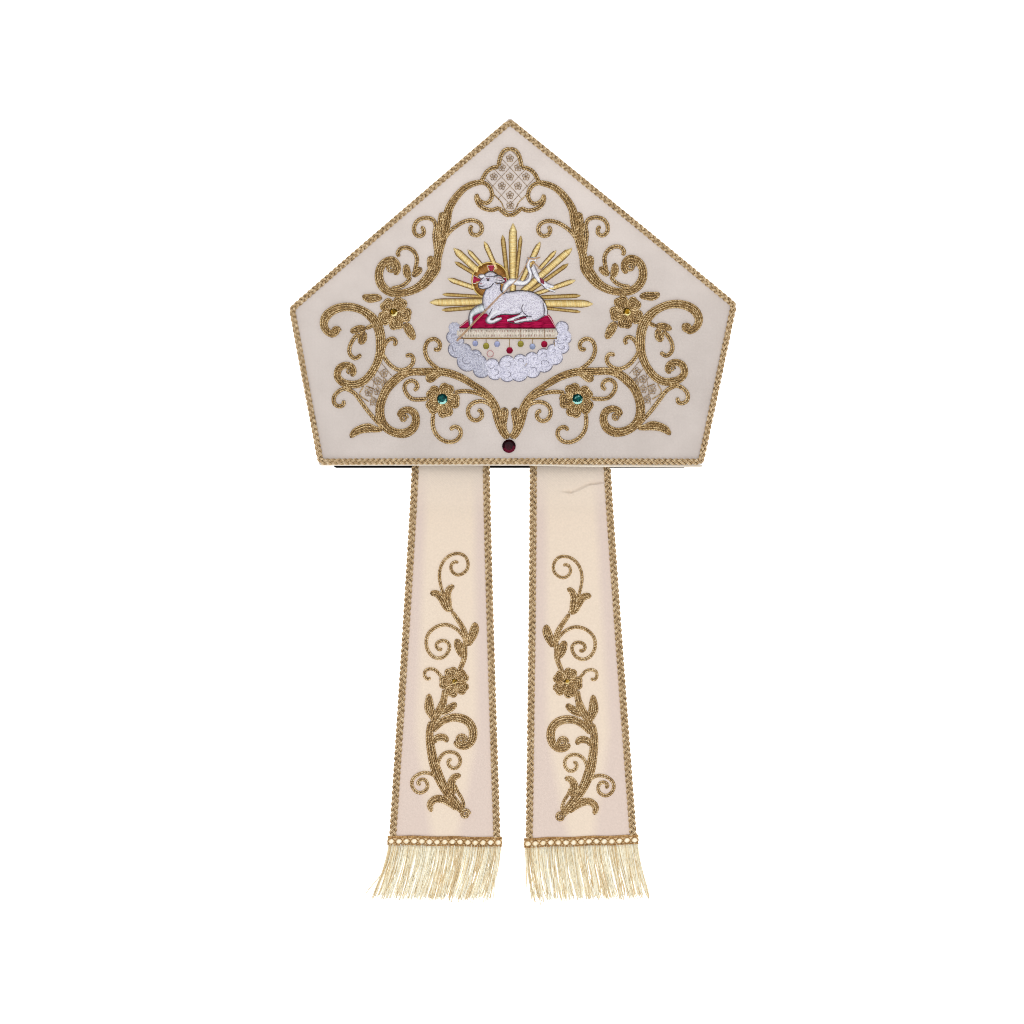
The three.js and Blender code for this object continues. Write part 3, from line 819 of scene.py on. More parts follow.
LONG_STEM = [(-86, 69.6, 3.4), (-80, 72, 4.2), (-75, 73, 4.6), (-68, 73, 4.8), (-60, 73, 5),
             (-52, 72.8, 5), (-44, 71, 4.8), (-36, 67.5, 4.5), (-28, 62.5, 4), (-20, 57, 4.4),
             (-14.6, 51, 5.2), (-11.4, 45, 5.8), (-9.6, 38, 5.6), (-7.5, 31, 5.2), (-4.4, 25.2, 5),
             (-0.8, 21.4, 4.4)]
STEMS = [
    MAIN_STEM, UPPER_C, LOWER_C, LONG_STEM,
    [(-52.5, 197.5, 4), (-53, 190, 5.5), (-53.5, 182, 5), (-54.5, 174, 3)],
    [(-61.5, 163.5, 3.5), (-61.5, 158, 5), (-60.5, 152, 5)],
    [(-80.5, 157, 2.5), (-80.5, 152, 5), (-79.6, 148.6, 4.6), (-78, 146, 2.6)],
    [(-68.5, 154, 2.4), (-72, 151, 4.7), (-76, 147.5, 3)],
    [(-99.5, 130.5, 2), (-104, 130.8, 5), (-110, 130.5, 5.5), (-115, 132.5, 2)],
    [(-82, 111, 3), (-79.8, 108, 5.6), (-77, 103, 5.6), (-74.5, 98, 2.6)],
    [(-112, 107, 3), (-118, 106.5, 5), (-124.5, 104.5, 2.4)],
    [(-113.5, 105, 3), (-115, 99, 6), (-116.5, 94.5, 2.6)],
    [(-99, 28, 2), (-105, 28.5, 4), (-110, 29.5, 6), (-116, 28.5, 5.5), (-121, 26, 4.5),
     (-124.5, 22, 1.6)],
    [(-53, 72.4, 3), (-58, 70.8, 5.6), (-62, 68, 6.4), (-64.6, 65.4, 3.6)],
    [(-4, 45.4, 3.4), (-4.4, 42, 5.8), (-5, 37, 5.4), (-5.2, 31, 4.2), (-4.0, 26, 3.8),
     (-1.2, 22.6, 3.6)],
]
TENDRILS = [
    [(0, 246.8), (-4, 245.6), (-6.8, 242), (-8, 238), (-9, 233.2)],
    [(-9, 232.4), (-13, 232), (-17.5, 229.3), (-20, 225.8), (-22, 221.5)],
    [(0, 194.8), (-3, 195.6), (-6, 198), (-8.8, 200.6)],
    [(-23, 220.8), (-18.5, 219.3), (-15.3, 215.8), (-14, 211), (-15.2, 206.8), (-18.2, 204.4),
     (-22, 205.2), (-25, 208), (-26, 211.5)],
    [(-26, 211), (-26, 207), (-23.5, 202.5), (-19, 199.8), (-13.5, 199), (-8.5, 200.8)],
    [(-57, 165), (-58, 172), (-58.7, 180), (-57.8, 187), (-60, 191.5), (-65.5, 193), (-71.5, 191),
     (-74.5, 186), (-74, 181), (-70.5, 178.7), (-67.3, 180.5), (-67.5, 184.5), (-69, 185.8)],
    [(-51.5, 176), (-47, 182), (-41, 187), (-34.5, 190.3), (-28, 190.8), (-23, 188), (-22, 183),
     (-25, 179.5), (-29.5, 180.3), (-31, 184), (-29.5, 186.8)],
    [(-92, 138), (-84, 140), (-79, 144), (-77.5, 147)],
    [(-74, 152), (-72.7, 157), (-72.5, 162), (-75, 167), (-80, 169.8), (-85, 169), (-87.3, 165.5),
     (-86, 163)],
    [(-106, 110), (-110, 108), (-112, 107)],
    [(-118, 103), (-122, 98.5), (-125, 92), (-124.5, 87), (-120.5, 83.8), (-116, 86.5)],
    [(-99.5, 88), (-97.5, 94), (-94.5, 98), (-91, 99), (-88.8, 96.5), (-90, 93.5)],
    [(-99.5, 88), (-97.5, 84), (-92.5, 78), (-86, 74.5), (-80, 75.5), (-76, 79), (-75, 83), (-77, 86),
     (-81, 85.5)],
    [(-129.5, 61), (-121.5, 57), (-116, 50), (-110, 42), (-104, 35), (-99, 29.5)],
    [(-123, 60.5), (-128, 60.5), (-133, 58.5), (-137, 54), (-137, 49), (-133.5, 46.5), (-130, 47.5),
     (-129.5, 51)],
    [(-54, 74), (-60, 78.5), (-64.5, 84), (-66, 91), (-63.5, 97), (-58.5, 98.5), (-54.5, 95),
     (-55.5, 90.5), (-59, 90.5)],
    [(-64, 52), (-70, 51.5), (-76, 52), (-80, 55.5), (-82, 60.5), (-80.5, 64.5), (-76.5, 66.3),
     (-73, 64.5), (-72, 61), (-74.5, 58.5)],
    [(-59.5, 40), (-60, 33), (-58.5, 26.5), (-54, 21), (-48, 18.5), (-42, 19.5), (-38.3, 24), (-39, 28.5),
     (-43, 30.3), (-46.5, 28)],
    [(-43, 57), (-38, 57.8), (-33, 57.8), (-26, 56.5), (-20, 54), (-15, 50.5), (-11.5, 46)],
    [(-12, 44), (-17, 48.5), (-22, 50), (-28, 49), (-32, 45), (-32.3, 40), (-29.5, 36), (-25.5, 35.3),
     (-22, 38), (-22.3, 42), (-25, 43.5)],
]
FINE_LINES = [
    [(0, 197.6), (-2.8, 198.4), (-5, 201), (-6.4, 204.5), (-9.5, 208), (-13.5, 212)],
    [(-114, 62), (-117, 55.5), (-110, 50)],
    [(-112, 62), (-106, 60)],
]
# x, y and radius of each coiled knob.
KNOBS = [(-92, 154, 5.2), (-135.5, 105, 4.6), (-125, 73.5, 3.4), (-82.5, 37, 4.3)]
# x, y, outer radius and the first petal's angle of each flower.
FLOWERS = [(-89.6, 118.8, 13.8, -10.0), (-52.5, 50.8, 14.3, -3.0)]


def cord_run(line, height, place, seed, size=CORD):
    """One couched cord along a flat line, at one height or one for each point."""
    centre, up = place(line, height)
    return tube_arrays(centre, up, (size, size * 0.92), lay=LAY, lobes=0.26, phase=seed * 1.7)


def runs_where(present, least=4):
    """Start and end of each stretch where present is true and long enough."""
    marks = np.flatnonzero(np.diff(np.concatenate([[0], present.astype(int), [0]])))
    return [(a, b) for a, b in zip(marks[::2], marks[1::2]) if b - a >= least]


def stem(rows, place):
    """Cords side by side filling the width along a line: pairs from the outside in, while they
    leave room for each other, and one down the middle where room is left over."""
    line = smooth_line(rows, STEP)
    flat = line[:, :2]
    width = line[:, 2] + 1.4
    steps = np.arange(len(line)) * STEP
    ends = np.clip(np.minimum(steps, steps[::-1]) / np.maximum(width / 2, 0.5), 0, 1)
    width = 2 * CORD + np.clip(width - 2 * CORD, 0, None) * np.sqrt(1 - (1 - ends) ** 2)
    reach = width / 2 - CORD
    # A padding strip under the cords, in the darkest colour of the gold: painted shade between them.
    parts = [strip(flat, place, np.clip(width / 2 - 0.5, 0.4, None), -0.4, 0.45)]
    pairs = int(reach.max() // PITCH) + 1
    innermost = reach.copy()
    for j in range(pairs):
        offset = reach - j * PITCH
        present = offset >= (0.4 if j == 0 else 0.72)
        innermost = np.where(present, offset, innermost)
        level = np.clip(1 - (offset / np.maximum(reach, 0.7)) ** 2, 0, 1)
        dome = 0.62 + 0.5 * level * np.clip(reach / 3, 0, 1)
        for a, b in runs_where(present):
            for sign in (-1, 1):
                moved = offset_line(flat, sign * offset)[a:b]
                parts.append(cord_run(moved, dome[a:b], place, len(parts)))
    present = (innermost >= 1.25) | (reach < 0.4)
    dome = 0.72 + 0.5 * np.clip(reach / 3, 0, 1)
    for a, b in runs_where(present):
        parts.append(cord_run(flat[a:b], dome[a:b], place, len(parts)))
    return parts


def tendril(rows, place, width=3.55):
    """Two cords side by side, drawn together at both ends."""
    line = smooth_line(rows, STEP)[:, :2]
    steps = np.arange(len(line)) * STEP
    ends = np.clip(np.minimum(steps, steps[::-1]) / 2.2, 0, 1)
    grow = 0.18 + 0.82 * np.sqrt(1 - (1 - ends) ** 2)
    size = 0.26 * width
    parts = []
    for sign in (-1, 1):
        moved = offset_line(line, sign * (width / 2 - size) * grow)
        parts.append(cord_run(moved, 0.6, place, len(parts) + len(line), size))
    return parts


def knob(x, y, radius, place):
    """A disc of one cord coiled from its rim to its middle, domed up."""
    turns = (radius - CORD) / COIL
    t = np.linspace(0, 1, max(24, int(turns * math.pi * radius / STEP)))
    r = (radius - CORD) * np.sqrt(1 - t * 0.985)
    angle = 2 * math.pi * turns * (1 - np.sqrt(1 - t * 0.985))
    line = resample(np.stack([x + r * np.cos(angle), y + r * np.sin(angle)], 1), STEP)
    away = np.linalg.norm(line - [x, y], axis=1) / radius
    return [cord_run(line, 0.6 + 0.9 * (1 - away**2), place, radius)]


def petal_loop(x, y, angle, near, far, width, place, seed, notch):
    """One looped cord from the flower's middle out round a broad petal, notched at its tip, and back."""
    t = np.linspace(0, 2 * math.pi, 64, endpoint=False) + math.pi
    dent = notch * np.exp(-(((t - 2 * math.pi) / 0.32) ** 2))
    along = (near + far) / 2 + (far - near) / 2 * np.cos(t) - dent
    across = width / 2 * np.sin(t) * (0.70 + 0.30 * np.cos(t)) / 0.86
    c, s = math.cos(angle), math.sin(angle)
    line = np.stack([x + along * c - across * s, y + along * s + across * c], 1)
    line = resample(np.concatenate([line, line[:1]]), STEP)
    return cord_run(line, 0.68 + 0.12 * (seed % 3), place, seed)


def flower(x, y, radius, first, place):
    """Five petals, each of nested loops round a short cord, over a padding in the gold's darkest colour,
    painted shade between the loops.
    """
    parts = []
    for k in range(5):
        angle = math.radians(first + 72 * k)
        middle = np.array([x, y])
        along = np.array([math.cos(angle), math.sin(angle)])
        wide = radius * 0.95
        for ring in range(3):
            near = 1.4 + ring * 1.7
            far = radius - CORD - ring * PITCH * 1.12
            loop_wide = wide - CORD * 2 - ring * PITCH * 2.1
            parts.append(petal_loop(x, y, angle, near, far, loop_wide, place, k * 3 + ring,
                                    1.0 - 0.35 * ring))
        core = resample(np.array([middle + 5.6 * along, middle + (radius - 5.2) * along]), STEP)
        parts.append(cord_run(core, 1.0, place, k))
        pad = resample(np.array([middle + 2 * along, middle + (radius - 1.2) * along]), 1.0)
        wide_here = np.sin(np.linspace(0.25, math.pi - 0.5, len(pad))) * (wide / 2 - 1.0)
        parts.append(strip(pad, place, wide_here, -0.4, 0.4))
    return parts


def to_side(side, rows):
    """Charted left-hand rows put on their own side. The right half is the left one turned over,
    worked a little wider and higher towards its corner."""
    rows = np.array(rows, float)
    x, y = rows[:, 0], rows[:, 1]
    if side == "right":
        near = np.clip(-x / 40, 0, 1)
        rows[:, 1] = y + near * (0.03 * -x - 1.6)
        rows[:, 0] = -x + near * (0.022 * -x + 0.012 * y - 2.4)
    rows[:, 1] -= 0.7
    return rows


for side in ("left", "right"):
    stems = [part for rows in STEMS for part in stem(to_side(side, rows), on_face)]
    tendrils = [part for rows in TENDRILS for part in tendril(to_side(side, rows), on_face)]
    for rows in FINE_LINES:
        line = smooth_line(to_side(side, rows), STEP)[:, :2]
        tendrils.append(cord_run(line, 0.45, on_face, 3, size=0.5))
    for x, y, radius in to_side(side, KNOBS):
        tendrils += knob(x, y, radius, on_face)
    flowers = []
    for x, y, radius, first in to_side(side, FLOWERS):
        flowers += flower(x, y, radius, first if side == "left" else 180 - first, on_face)
    for name, parts in (("stems", stems), ("tendrils", tendrils), ("flowers", flowers)):
        dress(joined(f"front_{name}_{side}", parts), SCROLL_GOLD)

# ================================================================ quatrefoil lattice and corner nets
# Thin tarnished thread laid in diagonals inside the quatrefoil, with a small flower knotted in each
# cell, and larger ones on the nets in the lower scrolls.
THREAD = 0.25
KNOT_REACH = 1.9
QUATREFOIL = np.array([(0, 245.6), (-3.6, 244.4), (-5.8, 241.5), (-7, 237.5), (-8.2, 232), (-12.7, 230.8),
                       (-16.6, 228.3), (-19, 225), (-20.6, 221), (-17.6, 218.2), (-14.3, 215),
                       (-12.8, 211), (-12.4, 209), (-9.2, 205.8), (-5.4, 201), (-2.4, 198), (0, 196.8)])


def inside(polygon, x, y):
    """Whether each point is inside the polygon, by counting edge crossings."""
    hit = np.zeros(np.shape(x), bool)
    for (x0, y0), (x1, y1) in zip(polygon, np.roll(polygon, -1, axis=0)):
        crosses = (y0 > y) != (y1 > y)
        if y0 != y1:
            hit ^= crosses & (x < (x1 - x0) * (y - y0) / (y1 - y0) + x0)
    return hit


whole = np.concatenate([QUATREFOIL, QUATREFOIL[::-1] * [-1, 1]])
CELL = np.array([6.7, 7.2])
CELL_Y = 224.2
x = np.arange(-26, 26, 0.5)
lattice = []
for direction in (-1, 1):
    for k in range(-5, 6):
        y = CELL_Y + CELL[1] * (2 * k + 1) + direction * x * CELL[1] / CELL[0]
        for a, b in runs_where(inside(whole, x, y)):
            line = np.stack([x, y], 1)[a:b]
            lattice.append(cord_run(line, 0.25 + 0.1 * (direction > 0), on_face, k, size=THREAD))


def knot(x, y, loop=1.05, size=0.34):
    """A tied flower knot: five small loops of thread round a middle stitch."""
    parts = []
    t = np.linspace(0, 2 * math.pi, 12)
    for k in range(5):
        angle = 2 * math.pi * k / 5 + 0.25
        line = np.array([x + KNOT_REACH * math.cos(angle), y + KNOT_REACH * math.sin(angle)])
        line = line + loop * np.stack([np.cos(t), np.sin(t)], 1)
        parts.append(cord_run(line, 0.42 + 0.2 * np.cos(t), on_face, k * 2.3 + x, size=size))
    middle = np.array([[x - 0.6, y], [x, y + 0.1], [x + 0.6, y]])
    parts.append(cord_run(middle, np.array([0.5, 0.8, 0.5]), on_face, x, size=0.55))
    return parts


for i in range(-3, 4):
    for j in range(-4, 4):
        if (i + j) % 2 == 0:
            x, y = CELL * [i, j] + [0, CELL_Y]
            if inside(whole, np.array([x]), np.array([y]))[0]:
                lattice += knot(x * 0.94, y)
lattice += knot(0.3, 201.8)
TARNISHED = gold_thread("tarnished_gold_thread", "#6e5640", "#a58b70", "#d8c3a2", roughness=0.5,
                        metal=0.25)
dress(joined("quatrefoil_lattice", lattice), TARNISHED)
KNOTS = [(-98, 72), (-103, 66), (-103, 58), (-106, 50), (-97.5, 64.5), (-110, 57)]
NET_LINES = [[(-100, 80), (-92, 70)], [(-103, 74), (-95, 64)], [(-108, 68), (-99, 57)],
             [(-113, 61), (-102, 48)], [(-104, 78), (-109, 46)], [(-97, 74), (-103, 40)]]
for side in ("left", "right"):
    knots = []
    for x, y in to_side(side, KNOTS):
        knots += knot(x, y, loop=1.15, size=0.42)
    for rows in NET_LINES:
        knots.append(cord_run(resample(to_side(side, rows), 0.7), 0.28, on_face, 1, size=0.3))
    dress(joined(f"corner_net_{side}", knots), TARNISHED)

# ================================================================ lamb emblem
# Machine embroidery in rayon and gold thread: a halo and rays of gold satin stitch, a lamb lying on
# a closed book, with a staff and ribbon, and a cloud of short white stitches. Each stitch is a thread.
DROP = 0.7


def on_emblem(at, height):
    """Where a charted point of the emblem lies on the bowed front, with the normal there."""
    return on_face(np.asarray(at, float) - [0.0, DROP], height)


def thread(line, height, radii, colour, **twist):
    """One thread along a charted line, with the linear colour that it keeps."""
    centre, up = on_emblem(line, height)
    return (*tube_arrays(centre, up, radii, sides=4, **twist)[:3], colour)


def ribbon(line, half, high, colour):
    """A flat ribbon of padding along a charted line, in one hex colour."""
    return (*strip(line, on_emblem, half, -0.2, high)[:3], linear(colour))


def ring_about(x, y, across, high=None, count=18):
    """An open ring of charted points about a middle."""
    turn = np.linspace(0, 2 * math.pi, count)[:-1]
    return np.array([x, y]) + np.stack([across * np.cos(turn), (high or across) * np.sin(turn)], 1)


def stitches(edge_a, edge_b, pitch, dome, colours, size=0.34, base=0.1):
    """Satin stitch: one thread after another from edge a across to edge b, lifted dome millimetres
    in the middle. The threads are dealt between two hex colours."""
    a = np.asarray(edge_a, float)
    b = np.asarray(edge_b, float)
    count = max(2, int(max(walked(a)[-1], walked(b)[-1]) / pitch) + 1)
    start, end = spaced(a, count), spaced(b, count)
    one, two = linear(colours[0]), linear(colours[1])
    t = np.linspace(0, 1, 4)
    parts = []
    for i in range(count):
        jitter = rng.normal(0, 0.05, (2, 2))
        line = (start[i] + jitter[0]) * (1 - t[:, None]) + (end[i] + jitter[1]) * t[:, None]
        reach = np.linalg.norm(end[i] - start[i])
        if reach >= 0.3:
            height = base + min(dome, reach * 0.35) * np.sin(math.pi * t) ** 0.6
            mix = rng.uniform(0, 1)
            colour = (one * (1 - mix) + two * mix) * rng.uniform(0.93, 1.05)
            parts.append(thread(line, height, (size, size * 0.7), colour))
    return parts


def seeds(points, directions, lengths, heights, colours, size):
    """Many short stitches at once: each a small closed grain, pointed at both ends, with its own
    colour. Returns one part."""
    n = len(points)
    forward = np.stack([np.cos(directions), np.sin(directions)], 1)
    t = np.array([-0.5, -0.2, 0.2, 0.5])
    wide = np.array([0.25, 1.0, 1.0, 0.25]) * size
    rise = np.array([-0.12, 0.05, 0.05, -0.12])
    flat = points[:, None, :] + forward[:, None, :] * (t[None, :, None] * lengths[:, None, None])
    at = flat.reshape(-1, 2)
    centre, up = on_emblem(at, (heights[:, None] + rise[None, :]).reshape(-1))
    along = np.repeat(np.concatenate([forward, np.zeros((n, 1))], 1), 4, axis=0)
    side = np.cross(up, along)
    side /= np.linalg.norm(side, axis=1, keepdims=True)
    w = np.tile(wide, n)[:, None]
    corners = np.stack([centre + side * w, centre + up * w * 0.8, centre - side * w,
                        centre - up * w * 0.8], 1)
    first = (np.arange(n) * 16)[:, None, None]
    body = grid_faces(4, 4, loop=True)[None]
    caps = np.array([[3, 2, 1, 0], [12, 13, 14, 15]])[None]
    faces = (first + np.concatenate([body, caps], 1)).reshape(-1, 4)
    uv = np.tile(np.stack([np.repeat(t, 4), np.tile(np.arange(4) / 4, 4)], 1) * 0.002, (n, 1))
    return corners.reshape(-1, 3), faces, uv, np.repeat(colours, 16, axis=0)


def dome_pad(outline, middle, height, colour, rings=7, lift=0.0):
    """Padding under a filled shape: rings from its outline in to a middle point, rounded up to a
    height above its lift, closed underneath. colour is hex."""
    line = resample(np.concatenate([outline, outline[:1]]).astype(float), 1.6)[:-1]
    middle = np.asarray(middle, float)
    n = len(line)
    rows = [on_emblem(line, -0.25)[0]]
    for r in np.linspace(1, 0.04, rings):
        high = 0.02 + lift + height * math.sqrt(max(0, 1 - r**2.6))
        rows.append(on_emblem(middle + (line - middle) * r, high)[0])
    poles = on_emblem(np.array([middle, middle]), np.array([0.02 + lift + height, -0.25]))[0]
    points = np.concatenate([*rows, poles])
    ring = np.arange(n)
    onward = (ring + 1) % n
    cap = np.stack([rings * n + ring, rings * n + onward, np.full(n, len(points) - 2)], 1)
    under = np.stack([onward, ring, np.full(n, len(points) - 1)], 1)
    faces = grid_faces(rings + 1, n, loop=True)
    caps = np.concatenate([cap, under])
    (ax, ay), (bx, by) = line[1] - line[0], middle - line[0]
    if ax * by - ay * bx < 0:
        faces, caps = faces[:, ::-1], caps[:, ::-1]
    return points, [faces, caps], points[:, :2] * 0.001, linear(colour)


def fill(outline, middle, height, spacing, colours, length, size, lift):
    """Short stitches scattered every way over a padded shape, at the pad's own height."""
    line = resample(np.concatenate([outline, outline[:1]]).astype(float), 1.0)[:-1]
    middle = np.asarray(middle, float)
    onward = np.roll(line, -1, axis=0)
    area = 0.5 * abs(np.sum(line[:, 0] * onward[:, 1] - onward[:, 0] * line[:, 1]))
    count = int(area / spacing)
    spoke = rng.uniform(0, len(line), count * 3)
    reach = np.linalg.norm(line - middle, axis=1)
    keep = rng.uniform(0, 1, count * 3) < (reach[spoke.astype(int)] / reach.max()) ** 1.2
    spoke = spoke[keep][:count]
    r = np.sqrt(rng.uniform(0, 0.985, len(spoke)))
    i = spoke.astype(int)
    f = (spoke - i)[:, None]
    at = middle + (line[i] * (1 - f) + onward[i] * f - middle) * r[:, None]
    high = 0.1 + lift + height * np.sqrt(np.clip(1 - r**2.6, 0, 1))
    turn = rng.uniform(0, math.pi, len(at))
    shades = np.array([linear(c) for c in colours])
    pick = shades[rng.integers(0, len(shades), len(at))] * rng.uniform(0.95, 1.04, (len(at), 1))
    return seeds(at, turn, rng.uniform(0.7, 1.2, len(at)) * length, high, pick, size)


def outline_cord(points, colour, size, height, closed=False):
    """A thin outline stitched along a line, in one hex colour."""
    line = smooth_line([*points, points[0]] if closed else points, 0.8)[:, :2]
    return thread(line, height, (size, size * 0.8), linear(colour), lay=2.0, lobes=0.15)


def drawn(rows, wider=1.0, lift=0.0):
    """Outlines from rows of colour, size, height and points."""
    return [outline_cord(points, colour, size * wider, high + lift)
            for colour, size, high, points in rows]


def emblem_piece(name, parts, roughness, metal, shine=0.5):
    """Stitches joined in one piece, coloured by their own tint, with the sheen of rayon thread."""
    start = 0
    quads, triangles, tints = [], [], []
    for part in parts:
        four, three = part[1] if isinstance(part[1], list) else (part[1], np.zeros((0, 3), int))
        quads.append(four + start)
        triangles.append(three + start)
        tints.append(np.broadcast_to(part[3], (len(part[0]), 3)))
        start += len(part[0])
    points, uvs = [np.concatenate([part[k] for part in parts]) for k in (0, 2)]
    groups = [g for g in (np.concatenate(quads), np.concatenate(triangles)) if len(g)]
    piece = mesh_piece(name, points, groups, uvs, np.concatenate(tints))
    material, add, shade = new_material(f"{name}_thread")
    tint = add("VertexColor", layer_name="tint").outputs["Color"]
    place = add("TexCoord").outputs["Object"]
    fleck = add("TexNoise", {"Vector": place, "Scale": 1100.0, "Detail": 2.0}).outputs["Fac"]
    value = spread(add, fleck, 0.3, 0.7, 0.88, 1.08)
    shade({"Base Color": add("HueSaturation", {"Color": tint, "Value": value}).outputs["Color"],
           "Normal": bump(add, fleck, 0.3, 0.0001),
           "Roughness": roughness, "Metallic": metal, "Specular IOR Level": shine})
    dress(piece, material)


rng = np.random.default_rng(7)
GOLDS = ("#e8c87c", "#fdebb2")
DULL_GOLDS = ("#bf9d58", "#dcc07e")
# Each ray: its root, its tip, its width at the root and near the tip, and whether it is a dull one.
RAYS = [
    ((2.2, 134), (2.3, 188.6), 4.0, 6.2, False), ((-2, 146), (-5.8, 179.5), 2.6, 3.2, True),
    ((5, 146), (8.5, 179), 2.0, 2.5, True), ((-10.5, 153), (-20, 174.5), 3.0, 3.4, False),
    ((-25, 151.5), (-44, 169.3), 4.6, 4.9, False), ((-22, 156), (-33, 168), 2.6, 3.0, False),
    ((-28, 149.5), (-43, 158.7), 2.4, 2.8, True), ((-28, 138.4), (-48.5, 145.5), 3.2, 3.6, False),
    ((-19, 127.5), (-62.5, 127), 5.0, 5.4, False), ((-20, 131.4), (-52.5, 133.3), 2.0, 2.2, True),
    ((-27, 123), (-53, 121), 2.6, 2.8, True), ((9, 143), (23.5, 174.3), 3.2, 4.2, False),
    ((10, 135.4), (48.3, 169.3), 4.4, 5.0, False), ((23, 153), (36, 167.5), 2.6, 2.9, False),
    ((16, 136), (45.5, 157.3), 2.5, 2.8, True), ((19, 133.2), (51, 144.5), 2.5, 3.8, False),
    ((26, 126.2), (64.7, 126), 5.0, 5.3, False), ((24, 131), (55, 132.3), 2.4, 2.8, True),
    ((28, 122.4), (55, 119.7), 1.8, 2.0, True),
]
rays = []
for root, tip, near, far, dull in RAYS:
    root, tip = np.array(root, float), np.array(tip, float)
    reach = np.linalg.norm(tip - root)
    along = (tip - root) / reach
    side = np.array([-along[1], along[0]])
    t = np.linspace(0, 1, 24)
    pointed = np.clip((1 - t) * reach / (far * 1.15), 0, 1) ** 0.75
    half = np.maximum((near + (far - near) * t) / 2 * pointed * 1.06, 0.12)[:, None]
    line = root + along * (t * reach)[:, None]
    rays.append(ribbon(line, half[:, 0], 0.28, "#c4a55e"))
    slant = side - along * 0.35
    rays += stitches(line + slant * half, line - slant * half, 0.52, 0.75, DULL_GOLDS if dull else GOLDS)
    for sign in (-1, 1):
        rays.append(outline_cord((line + side * half * sign)[::3], "#7d5a24", size=0.28, height=0.32))

turn = np.linspace(0, 2 * math.pi, 60)
circle = np.stack([np.cos(turn), np.sin(turn)], 1)
HALO = np.array([-15.3, 144.0])
rim = HALO + 14.2 * circle[:-1]
halo = [dome_pad(rim, HALO, 0.5, "#a8691f", rings=5)]
halo += stitches(HALO + 13.4 * circle, HALO + 6.0 * circle, 0.62, 0.15, ("#946022", "#bd873a"), base=0.5)
halo.append(outline_cord(rim[::3], "#d9bb6a", size=0.6, height=0.55, closed=True))


def quad_fill(corners, colours, base=0.65):
    """Satin stitch over a four-sided patch, from its first side across to its third."""
    a, b, c, d = corners
    return stitches([a, b], [d, c], 0.5, 0.2, colours, base=base)


CRIMSON = ("#a20a40", "#b70f4c")
for corners in (((-17.8, 155.6), (-15.5, 151), (-13.3, 151), (-11.6, 155.6)),
                ((-28.2, 148), (-23, 145.3), (-23, 143.8), (-28.6, 141.8)),
                ((-3.2, 146.5), (-7.5, 145.5), (-7.5, 143), (-2.6, 141))):
    halo += quad_fill(corners, CRIMSON)
    halo.append(outline_cord([*corners], "#eadfd2", size=0.28, height=0.75, closed=True))
emblem_piece("emblem_rays", rays + halo, 0.4, 0.2)

# The book: a crimson cover in perspective, cream pages below it with their lines, and a gold edge.
book = []
CREAM = ("#e0d4c4", "#f1e8db")
for k in range(21):
    y0 = 107.6 + k * 0.52
    left = np.interp(y0, [107.3, 113.5, 118], [-39.5, -31.5, -26.5])
    right = np.interp(y0, [107.3, 115, 118], [35.3, 30.5, 28.5])
    cuts = np.linspace(left, right, 9) + np.concatenate([[0], rng.uniform(-2.4, 2.4, 7), [0]])
    for a, b in zip(cuts[:-1], cuts[1:]):
        line = np.stack([np.linspace(a, b, 5), np.full(5, y0)], 1)
        arch = 0.32 + 0.16 * np.sin(math.pi * np.linspace(0, 1, 5))
        colour = linear(CRIMSON[rng.integers(0, 2)]) * rng.uniform(0.9, 1.15)
        book.append(thread(line, arch, (0.36, 0.26), colour))
deck = np.stack([np.linspace(-39, 35, 70), np.full(70, 112.4)], 1)
across = np.where(deck[:, 0] < -27, np.interp(deck[:, 0], [-39.5, -26.5], [0.4, 5.2]),
                  np.where(deck[:, 0] > 28, np.interp(deck[:, 0], [28.5, 35.3], [5.2, 0.4]), 5.2))
deck[:, 1] = 107.4 + across
book.append(ribbon(deck, across, 0.3, "#a30e42"))
page = np.stack([np.linspace(-41, 36.5, 70), np.full(70, 103.1)], 1)
book.append(ribbon(page, 3.9, 0.25, "#d9cbb9"))
book += stitches([(-41, 106.6), (36.5, 106.6)], [(-41, 99.6), (36.5, 99.6)], 0.6, 0.12, CREAM, base=0.26)
for x in np.arange(-39.5, 36, 1.25):
    for y in (101.2, 104.6):
        if rng.uniform() < 0.8:
            line = np.array([(x, y - 0.9), (x + rng.normal(0, 0.12), y + 0.9)])
            colour = linear(("#b58f84", "#a99a8c")[rng.integers(0, 2)])
            book.append(thread(resample(line, 0.6), 0.52, (0.24, 0.2), colour))
book += drawn([
    ("#a58f74", 0.3, 0.6, [(8.5, 106.5), (8.5, 103), (8.5, 99.6)]),
    ("#a58f74", 0.3, 0.6, [(27, 106.5), (27, 103), (27, 99.6)]),
    ("#8a6a3c", 0.5, 0.45, [(-41, 99), (-20, 98.9), (0, 98.9), (20, 98.8), (37, 98.9)]),
    ("#5e0a26", 0.5, 0.55, [(-39.5, 107.2), (-20, 107), (0, 107), (20, 106.9), (35.3, 107.1)]),
    ("#d8a9a6", 0.35, 0.5, [(-39.5, 107.5), (-31.5, 114), (-29.8, 117.2), (-26.5, 118.4)]),
    ("#e0a8ac", 0.35, 0.5, [(28.3, 118.2), (30.9, 115), (35.5, 107.5)]),
])
BALLS = [(-27, 95.1, 2.3, "#a9aed0"), (-18.5, 93, 2.5, "#9b9140"), (-10, 94.5, 2.3, "#a9aed0"),
         (-0.3, 89.6, 2.6, "#9c1238"), (8.3, 94.6, 2.5, "#9b9140"), (17.5, 92.6, 2.4, "#a9b2cf"),
         (26.7, 94.4, 2.6, "#a3143c")]
t = np.linspace(-1, 1, 6)
